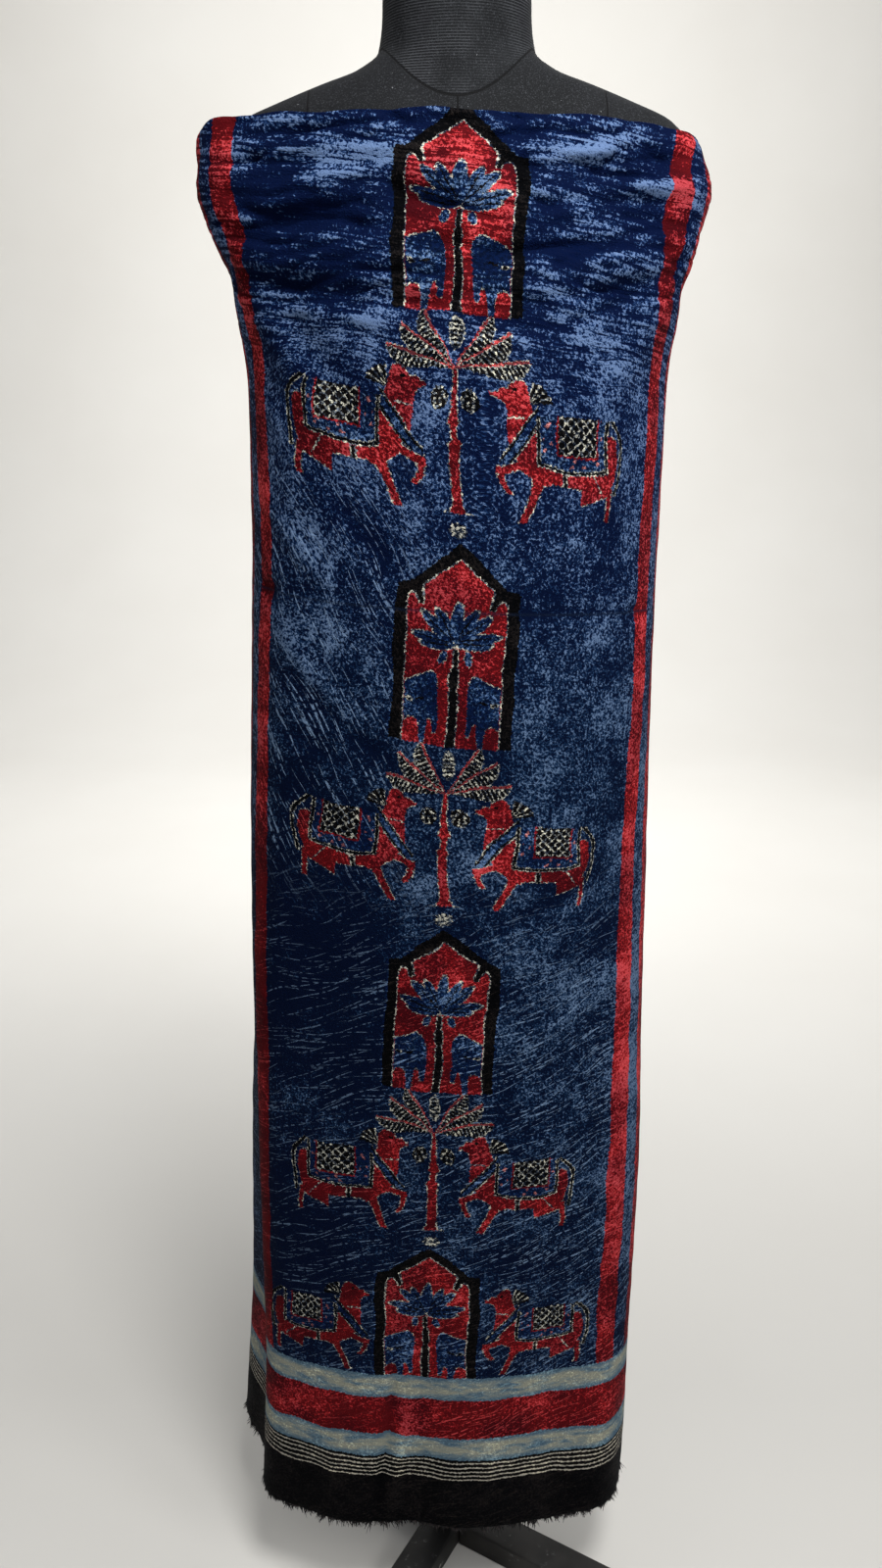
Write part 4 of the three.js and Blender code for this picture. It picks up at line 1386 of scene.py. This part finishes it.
def pile_lean(place, bent, up):
    """How far the pile leans towards the light, about 0.5 on average."""
    fine = place.noise(2.4, detail=2.0, roughness=0.6)
    tufts = place.noise(9.0, detail=2.0, roughness=0.6)
    clouds = place.noise(52.0, detail=2.0, roughness=0.55)
    level = streaks(place, *LEVEL) - 0.5
    # Painted shadows of fine drag lines, as thin dark streaks.
    drag_shadow = streaks(bent, *DRAG_SHADOWS).smooth(0.435, 0.375)
    worms = abs(place.noise(7.0, detail=2.0, roughness=0.6) - 0.5).smooth(0.06, 0.0)
    chest = up.smooth(1120.0, 1220.0)
    lean = fine * FINE_SHARE + tufts * TUFT_SHARE + clouds * CLOUD_SHARE
    # Painted light makes the chest paler, and painted shadows of drag lines darken it.
    lean = lean + level * chest * LEVEL_SHARE + chest * CHEST_PAINTED_LIGHT - drag_shadow * chest * DRAG_SHADOW_SHARE
    lean = lean + worms * WORM_SHARE - ALL_DARKER
    # Painted shade: darker towards the raw end, where less light reaches.
    lean = lean - up.smooth(1150.0, 900.0) * 0.03 - up.smooth(750.0, 450.0) * 0.07
    lean = (lean - 0.5) * (1 + up.smooth(850.0, 1100.0) * 0.3) + 0.5
    # Painted light on the ridges of creases, and painted shade in their troughs.
    crease_shade = place.node("ShaderNodeAttribute", {"attribute_name": CREASE_SHADE_MAP}, out=2)
    lean = lean + crease_shade * CREASE_SHADE_SHARE
    # Patches of painted light and shade, each as listed above.
    for x, y, half_width, half_height, paler in LIGHT_AND_SHADE_PATCHES:
        patch = leaf_field(place, [(x, y, half_width, half_height, 0)])
        lean = lean + patch.smooth(1.0, 0.2) * paler
    return lean


# The patches are painted light and shade.
print(len(LIGHT_AND_SHADE_PATCHES), "patches of painted light and shade")

# %% [markdown]
# In thin slanting lines the pile is parted, and its roots shine. They run two ways in the lower half
# and another way on the left, and are broken up, since a hand parts the pile only here and there.
# Stretched noise gives such lines when only its highest values are kept.

# %% Where the pile is parted
RISING = (80.0, 1.9, 31.0)  # length, width and turn
DRIFTING = (70.0, 1.8, 15.0)
FALLING = (70.0, 2.2, -57.0)


def parted_lines(place, bent, across, up):
    """Thin lines where the pile is parted: two ways low down, and another on the left."""
    low = up.smooth(800.0, 620.0) * (across.smooth(-110.0, 40.0) * 0.5 + 0.5)
    left = across.smooth(-20.0, -80.0) & up.smooth(700.0, 780.0) & up.smooth(1130.0, 1060.0)
    rising = (streaks(bent, *RISING) | streaks(bent, *DRIFTING)).smooth(0.68, 0.705)
    lines = rising * low + streaks(bent, *FALLING).smooth(0.645, 0.68) * left
    return lines & place.noise(5.0, detail=2.0).smooth(0.4, 0.56)


print("parted lines are about", RISING[1], "mm wide")

# %% [markdown]
# The face joins the ink and the pile. Where the pile leans away, the ink is deep, and where it leans
# to the light, the ink is bright with a painted sheen on the blue. Ivory and red ink lie on top of the
# pile and change less. A line of painted shade follows the packing crease, and the lean also lifts
# the surface.

# %% The velvet's face
DEEP_SHARE = (0.1, 0.15, 0.27)  # of the ink's red, green and blue, where the pile leans away
BRIGHT_SHARE = (1.7, 1.7, 1.6)
# Painted sheen where the pile leans to the light, on the blue and on the red.
FLECK_GLOW = (0.088, 0.115, 0.155, 1.0)
ROSE_GLOW = (0.09, 0.04, 0.045, 1.0)
NO_GLOW = (0, 0, 0, 1)
PARTED_SHINE = (1.4, 1.35, 1.25)  # the lines where the pile is parted, against the pale flecks
# Painted shade follows the packing crease in a thin line.
PACK_CREASE = (0.05, 993.0, 1.4)  # the packing crease: its slope, height and half width
CREASE_SHADE_COLOUR = (0.004, 0.008, 0.02, 1)


def pile_colour(ink, lean, lines):
    red, green, blue = ink.parts()
    pale = green.smooth(0.06, 0.2)
    warm = (red - green * 2).smooth(0.05, 0.2)
    deep = ink.vector("MULTIPLY", DEEP_SHARE).mix(ink, pale * 0.7 | warm * 0.2)
    glow = ink.flat(NO_GLOW).mix(FLECK_GLOW, blue.smooth(0.008, 0.07) * (1 - pale))
    bright = ink.vector("MULTIPLY_ADD", BRIGHT_SHARE, glow.mix(ROSE_GLOW, warm))
    colour = deep.mix(ink, lean.smooth(0.32, 0.54)).mix(bright, lean.smooth(0.5, 0.75) * 0.95)
    shown = lines * (1 - pale * 0.8) * (1 - warm * 0.5)
    return colour.mix(bright.vector("MULTIPLY", PARTED_SHINE), shown)


def velvet_face():
    material, start = new_material("velvet_face")
    place = cloth_place(start)
    across, up, _ = place.parts()
    bent = bent_place(place)
    lean = pile_lean(place, bent, up)
    colour = pile_colour(printed_ink(place, up), lean, parted_lines(place, bent, across, up))
    # A line of painted shade along the packing crease.
    slope, height, half = PACK_CREASE
    crease_shade_line = abs(up - across * slope - height).smooth(half * 1.6, 0.0)
    colour = colour.mix(CREASE_SHADE_COLOUR, crease_shade_line * 0.6)
    pile = place.noise(1.2, detail=1.0)
    finish_material(
        start, Base_Color=colour, Roughness=0.82 - lean * 0.25, Specular_IOR_Level=0.03,
        Normal=(lean + pile * 0.5).bump(0.5, 0.0014), Sheen_Weight=0.006, Sheen_Roughness=0.3,
        Sheen_Tint=linear(150, 172, 215),
    )
    return material


cloth.data.materials.append(velvet_face())
print("print and velvet:", len(cloth.data.materials[0].node_tree.nodes), "nodes")

# %% [markdown]
# The inside of the cloth is the plain ground weave, with the indigo showing through. Two stretched
# noises, one along each way of the weave, are enough for threads this fine.

# %% The velvet's reverse


def velvet_reverse():
    material, start = new_material("velvet_reverse")
    place = cloth_place(start)
    patch = place.noise(30.0, detail=3.0)
    thread = place.noise(1.0, detail=1.0, stretch=(0.5, 6.0))
    weft = place.noise(1.0, detail=1.0, stretch=(6.0, 0.5))
    colour = two_tone(start, (24, 30, 48), (44, 54, 78), patch * 0.6 + thread * 0.4)
    weave = (thread + weft).bump(0.3, 0.0005)
    finish_material(start, Base_Color=colour, Roughness=0.92, Normal=weave, Specular_IOR_Level=0.2)
    return material


cloth.data.materials.append(velvet_reverse())
print("finishes on the cloth:", [material.name for material in cloth.data.materials])

# %% [markdown]
# The raw end is cut across the weave, so short black tufts of pile and loose threads hang from it.
# Each is a thin strand of three sides that tapers to a point. They hang in small clumps that lean the
# same way, and are joined into one mesh.

# %% The frayed end
FRAY_CLUMPS = 520
FRAY_PER_CLUMP = 5
FRAY_LENGTH = (3.0, 9.0)
FRAY_WIDTH = 0.6
FRAY_DEPTH = 0.9  # threads start this far in front of or behind the sheet's middle
FRAY_SEED = 11
FRAY_CHOICES = (0.6, 0.8, 1.0, 1.3)  # a clump is cut to one of these shares of its length
FRAY_SPREAD = 1.3  # millimetres, of the threads in a clump
FRAY_LEANS = (0.3, 0.2, 0.35)  # radians: of a clump, and of its threads sideways and to the front
FRAY_TIP = 0.25  # width of the tip, as a share
FRAY_SUNK = 1 / 2.2  # share of its length that a thread's middle hangs below its root


def make_fray():
    draw = random.Random(FRAY_SEED)
    of_clump, sideways, to_front = FRAY_LEANS
    bm = bmesh.new()
    for _ in range(FRAY_CLUMPS):
        centre = draw.uniform(-CLOTH_LEFT, CLOTH_RIGHT)
        clump_length = draw.uniform(*FRAY_LENGTH) * draw.choice(FRAY_CHOICES)
        clump_lean = draw.gauss(0, of_clump)
        spread = [draw.gauss(centre, FRAY_SPREAD) for _ in range(FRAY_PER_CLUMP)]
        places = np.clip(spread, -CLOTH_LEFT, CLOTH_RIGHT)
        none = np.zeros_like(places)
        for px, py, pz, _ in zip(*hang(places, none + HEM_HEIGHT, none, none)):
            length = clump_length * draw.uniform(0.7, 1.2)
            width = FRAY_WIDTH * draw.uniform(0.7, 1.4)
            lean = Matrix.Rotation(clump_lean + draw.gauss(0, sideways), 4, "Y")
            lean = lean @ Matrix.Rotation(draw.gauss(0, to_front), 4, "X")
            off = draw.uniform(-FRAY_DEPTH, FRAY_DEPTH)
            root = Matrix.Translation((px / 1000, (py + off) / 1000, pz / 1000))
            hanging = Matrix.Translation((0, 0, -length * FRAY_SUNK / 1000))
            bmesh.ops.create_cone(
                bm, cap_ends=True, segments=3, radius1=width * FRAY_TIP / 1000, radius2=width / 1000,
                depth=length / 1000, matrix=root @ lean @ hanging,
            )
    return mesh_object("frayed_end", bm, smooth=False)


fray = make_fray()
print("fray:", len(fray.data.polygons), "faces")

# %% [markdown]
# The cut threads are dark, with a few paler ones. The pieces from here on have no flat map, so their
# finishes read the place on the object itself, and one helper makes lumps of noise there.

# %% The threads' finish


def object_place(start):
    return start.node("ShaderNodeTexCoord", None, None, out=3)


def lumps(place, scale, detail=2.0, roughness=0.5):
    sockets = {"Vector": place, "Scale": scale, "Detail": detail, "Roughness": roughness}
    return place.node("ShaderNodeTexNoise", None, sockets)


def thread_finish():
    material, start = new_material("fray_thread")
    patch = lumps(object_place(start), 180.0)
    colour = two_tone(start, (15, 13, 14), (52, 46, 46), patch.smooth(0.5, 0.75))
    finish_material(start, Base_Color=colour, Roughness=0.85, Specular_IOR_Level=0.2)
    return material


fray.data.materials.append(thread_finish())
print("finish of the fray:", fray.data.materials[0].name)

# %% [markdown]
# The dress form is a padded body under a black knit cover. Its rings are ellipses that change with
# height, bridged one to the next. The same table shapes the solid, with more rings here so that the
# shoulders and neck run smoothly.

# %% The form
FORM_SIDES = 96
RINGS_PER_ROW = 4


def form_heights():
    heights = [row[0] for row in FORM]
    places = np.linspace(0, len(heights) - 1, (len(heights) - 1) * RINGS_PER_ROW + 1)
    return np.interp(places, range(len(heights)), heights)


def form_point(angle, z):
    half, front, back = (form_at(name, np.array([z]))[0] for name in FORM_COLUMNS[1:])
    depth = front if math.sin(angle) < 0 else back
    return Vector((half * math.cos(angle), depth * math.sin(angle), z)) / 1000


def make_form():
    bm = bmesh.new()
    below = None
    heights = form_heights()
    for z in heights:
        capped = z in (heights[0], heights[-1])
        ring = bmesh.ops.create_circle(bm, cap_ends=capped, segments=FORM_SIDES, radius=1.0)["verts"]
        for vert in ring:
            vert.co = form_point(math.atan2(vert.co.y, vert.co.x), z)
        edges = list({e for v in ring for e in v.link_edges})
        if below:
            bmesh.ops.bridge_loops(bm, edges=below + edges)
        below = edges
    bmesh.ops.recalc_face_normals(bm, faces=bm.faces)
    return mesh_object("form_cover", bm)


form = make_form()
print("form:", len(form.data.polygons), "faces")

# %% [markdown]
# The neck has a ribbed cover of its own, with a dark seam round its foot that dips in front. Seams
# also run down the front and over the shoulders. Sewn lines this fine need no mesh: they are narrow
# masks on the place, and a bump lets them catch the light.

# %% The knit cover
NECK_SEAM = 1.567  # height of the neck's seam at the sides and back
NECK_HALF = 0.06
NECK_DROP = 0.042  # how far the seam dips in front
RIB_PITCH = 0.0021
SHOULDER_SEAM = 0.12  # from the middle
RIB_GREY = linear(78, 80, 84)
STITCH_GREY = linear(66, 68, 72)
SEAM_BLACK = linear(4, 4, 5)
LINT = linear(120, 122, 124)


def jersey_finish():
    material, start = new_material("black_jersey")
    place = object_place(start)
    x, y, z = place.parts()
    dip = (1 - x * x * NECK_HALF**-2) | 0.0
    level = z - NECK_SEAM + dip * (y < 0.0) * NECK_DROP
    neck = level.smooth(-0.0005, 0.0005)
    ribs = (z * (2 * math.pi / RIB_PITCH)).math("SINE")
    worn = lumps(place, 26.0)
    stitch = lumps(place, 900.0)
    wear = lumps(place, 9.0, 3.0)
    lint = lumps(place, 420.0, 1.0)
    colour = two_tone(start, (17, 18, 20), (34, 36, 39), wear.smooth(0.4, 0.7) * 0.6)
    colour = colour.mix(RIB_GREY, ribs.smooth(0.3, 1.0) * neck * worn.smooth(0.35, 0.65) * 0.5)
    colour = colour.mix(STITCH_GREY, stitch.smooth(0.5, 0.75) * 0.5)
    sides = abs(abs(x) - SHOULDER_SEAM).smooth(0.0011, 0.0004)
    seam = abs(level).smooth(0.0017, 0.0006) | (sides & (1 - neck))
    seam = seam | (abs(x).smooth(0.001, 0.0004) & (1 - neck))
    colour = colour.mix(SEAM_BLACK, seam * 0.9).mix(LINT, lint.smooth(0.79, 0.82))
    bump = (ribs * neck * 0.6 + stitch * 0.7 - seam * 2.0).bump(0.4, 0.0006)
    finish_material(
        start, Base_Color=colour, Roughness=0.82, Normal=bump, Specular_IOR_Level=0.12,
        Sheen_Weight=0.02, Sheen_Roughness=0.4,
    )
    return material


form.data.materials.append(jersey_finish())
print("finish of the form:", form.data.materials[0].name)

# %% [markdown]
# The cross base is box tube with rounded edges, which catch a thin line of light. The solids are left
# with sharp edges, so each bar is made again from a cube that is scaled, bevelled along its edges and
# turned into its place. The plugs in the ends already have their shape.

# %% The bars of the base
BAR_WIDTH = 0.040
BAR_HEIGHT = 0.030
BAR_ROUND = 0.0025
BASE_SPAN = 0.400
BASE_TURN = 60.0
BAR_GAP = 0.0003


def make_bar(name, start, end, turn):
    """A tube from start to end along its own direction, standing on the floor."""
    bm = bmesh.new()
    bmesh.ops.create_cube(bm, size=1.0)
    bmesh.ops.scale(bm, vec=(end - start, BAR_WIDTH, BAR_HEIGHT), verts=bm.verts)
    bmesh.ops.translate(bm, vec=((start + end) / 2, 0, BAR_HEIGHT / 2), verts=bm.verts)
    bmesh.ops.bevel(
        bm, geom=bm.edges[:], offset=BAR_ROUND, offset_type="OFFSET", affect="EDGES", segments=3,
        profile=0.5, material=-1,
    )
    turned = Matrix.Rotation(math.radians(turn), 3, "Z")
    bmesh.ops.rotate(bm, verts=bm.verts, cent=(0, 0, 0), matrix=turned)
    return mesh_object(name, bm)


half_span = BASE_SPAN / 2
short_start = BAR_WIDTH / 2 + BAR_GAP
BARS = {
    "base_long_bar": make_bar("long_tube", -half_span, half_span, BASE_TURN),
    "base_short_bar_1": make_bar("short_tube_1", short_start, half_span, BASE_TURN + 90),
    "base_short_bar_2": make_bar("short_tube_2", short_start, half_span, BASE_TURN + 270),
}
print("bars:", sorted(BARS))

# %% [markdown]
# The rest of the stand keeps its solids and only gets finishes: black paint with scuffs and dust,
# brushed tube, bare board and moulded plastic.

# %% Finishes for the stand


def painted_steel():
    material, start = new_material("black_paint")
    place = object_place(start)
    scuff = lumps(place, 70.0, 6.0, 0.72)
    dust = lumps(place, 16.0, 3.0)
    chip = lumps(place, 130.0, 1.0)
    colour = two_tone(start, (15, 15, 15), (58, 56, 53), dust.smooth(0.44, 0.75) * 0.5)
    colour = colour.mix(linear(110, 110, 110), scuff.smooth(0.6, 0.7) * 0.5)
    colour = colour.mix(linear(150, 148, 142), chip.smooth(0.78, 0.81))
    finish_material(
        start, Base_Color=colour, Roughness=0.36 + dust * 0.3, Normal=scuff.bump(0.2, 0.0005),
        Specular_IOR_Level=0.22,
    )
    return material


def brushed_tube():
    material, start = new_material("brushed_tube")
    place = object_place(start)
    drawn = place.node("ShaderNodeMapping", None, {"Vector": place, "Scale": (900, 900, 12)})
    grain = lumps(drawn, 1.0, 3.0)
    colour = two_tone(start, (168, 170, 172), (120, 122, 124), grain.smooth(0.4, 0.7))
    finish_material(start, Base_Color=colour, Roughness=0.28 + grain * 0.2, Metallic=0.95)
    return material


def bare_board():
    material, start = new_material("bare_board")
    place = object_place(start)
    stretched = place.node("ShaderNodeMapping", None, {"Vector": place, "Scale": (14, 160, 160)})
    grain = lumps(stretched, 1.0, 5.0)
    colour = two_tone(start, (158, 128, 92), (110, 82, 54), grain.smooth(0.42, 0.68))
    finish_material(start, Base_Color=colour, Roughness=0.75, Normal=grain.bump(0.2, 0.0004))
    return material


def grey_plastic():
    material, start = new_material("moulded_grey")
    place = object_place(start)
    stipple = lumps(place, 900.0)
    dirt = lumps(place, 40.0, 4.0)
    colour = two_tone(start, (152, 158, 166), (104, 104, 104), dirt.smooth(0.48, 0.75))
    finish_material(start, Base_Color=colour, Roughness=0.5, Normal=stipple.bump(0.15, 0.0003))
    return material


STAND_FINISHES = {
    "black_metal": painted_steel(),
    "bright_metal": brushed_tube(),
    "board": bare_board(),
    "grey_plastic": grey_plastic(),
}
for entry in frame["record"]["subparts"]:
    finish = STAND_FINISHES.get(entry["material_slot"])
    if finish:
        solid = frame["nodes"][entry["node"]]
        solid.data.materials.clear()
        solid.data.materials.append(finish)
for bar in BARS.values():
    bar.data.materials.append(STAND_FINISHES["black_metal"])
print("stand finishes:", sorted(STAND_FINISHES))

# %% [markdown]
# Each piece is tied to the frame: it rides on the one body, and stands for its solid, which is
# hidden. The frayed end rides on the body too.

# %% Tie the pieces to the frame
TIES = [(cloth, "cloth", "velvet"), (form, "form_body", "jersey")]
TIES += [(bar, node, "black_metal") for node, bar in BARS.items()]
for piece, node, slot in TIES:
    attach(piece, "root")
    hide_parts(node)
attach(fray, "root")

# %% [markdown]
# The floor is one plain pale sheet that sweeps up behind the object, as in a photo studio, so that
# no edge shows. It is a grid whose far part is bent round a quarter turn.

# %% Floor
FLOOR_HALF = 12.0
SWEEP_FROM = 3.4  # metres behind the object
SWEEP_RADIUS = 2.4
SWEEP_STEPS = 240


def make_floor():
    bm = bmesh.new()
    bmesh.ops.create_grid(bm, x_segments=2, y_segments=SWEEP_STEPS, size=FLOOR_HALF)
    for vert in bm.verts:
        past = max(vert.co.y - SWEEP_FROM, 0.0)
        turn = min(past / SWEEP_RADIUS, math.pi / 2)
        wall = max(past - SWEEP_RADIUS * math.pi / 2, 0.0)
        vert.co.y = min(vert.co.y, SWEEP_FROM) + SWEEP_RADIUS * math.sin(turn)
        vert.co.z = SWEEP_RADIUS * (1 - math.cos(turn)) + wall
    floor = mesh_object("floor", bm)
    material, start = new_material("pale_floor")
    patch = lumps(object_place(start), 1.5, 3.0)
    colour = two_tone(start, (208, 206, 201), (200, 197, 191), patch)
    finish_material(start, Base_Color=colour, Roughness=0.7, Specular_IOR_Level=0.2)
    floor.data.materials.append(material)


make_floor()
print("floor sweeps up", SWEEP_FROM, "m behind the object")

# %% [markdown]
# The light is soft: one panel lights the chest from above, weaker ones come from both sides and the
# back, and one lights the sweep. The surround is brighter from above and behind than from in front,
# so that the folds show. Panels are used because a lamp that is a point would draw hard shadows.

# %% Light
LIGHTS = [  # name, place, aim, size, power
    ("top_panel", (0.35, -1.0, 2.6), (0.0, -0.1, 1.2), 0.6, 42),
    ("right_panel", (1.6, -1.4, 1.9), (0.0, -0.1, 0.9), 0.8, 17),
    ("left_panel", (-2.2, -1.2, 1.2), (0.0, 0.0, 0.8), 1.2, 3),
    ("back_panel", (0.6, 2.4, 2.6), (0.0, 0.0, 1.0), 1.6, 14),
    ("wall_panel", (0.0, 1.6, 3.4), (0.0, 6.0, 1.6), 2.0, 230),
]
SURROUND = (0.28, 0.04, 0.1, 0.24)  # even part, and what +X, +Y and +Z add


def add_light(name, place, aim, size, power):
    data = bpy.data.lights.new(name, "AREA")
    data.shape = "DISK"
    data.size = size
    data.energy = power
    light = bpy.data.objects.new(name, data)
    light.location = place
    light.rotation_euler = (Vector(aim) - Vector(place)).to_track_quat("-Z", "Y").to_euler()
    bpy.context.collection.objects.link(light)


def soft_surround():
    world = bpy.data.worlds.new("soft_surround")
    world.use_nodes = True
    world.node_tree.nodes.clear()
    start = Shade(world.node_tree)
    x, y, z = start.node("ShaderNodeTexCoord").parts()
    even, right, back, above = SURROUND
    strength = x * right + y * back + z * above + even
    glow = start.node("ShaderNodeBackground", None, {"Color": linear(250, 252, 255), "Strength": strength})
    start.node("ShaderNodeOutputWorld", None, {"Surface": glow})
    bpy.context.scene.world = world


soft_surround()
for row in LIGHTS:
    add_light(*row)
bpy.context.scene.view_settings.view_transform = "Standard"
print("lights:", [row[0] for row in LIGHTS])
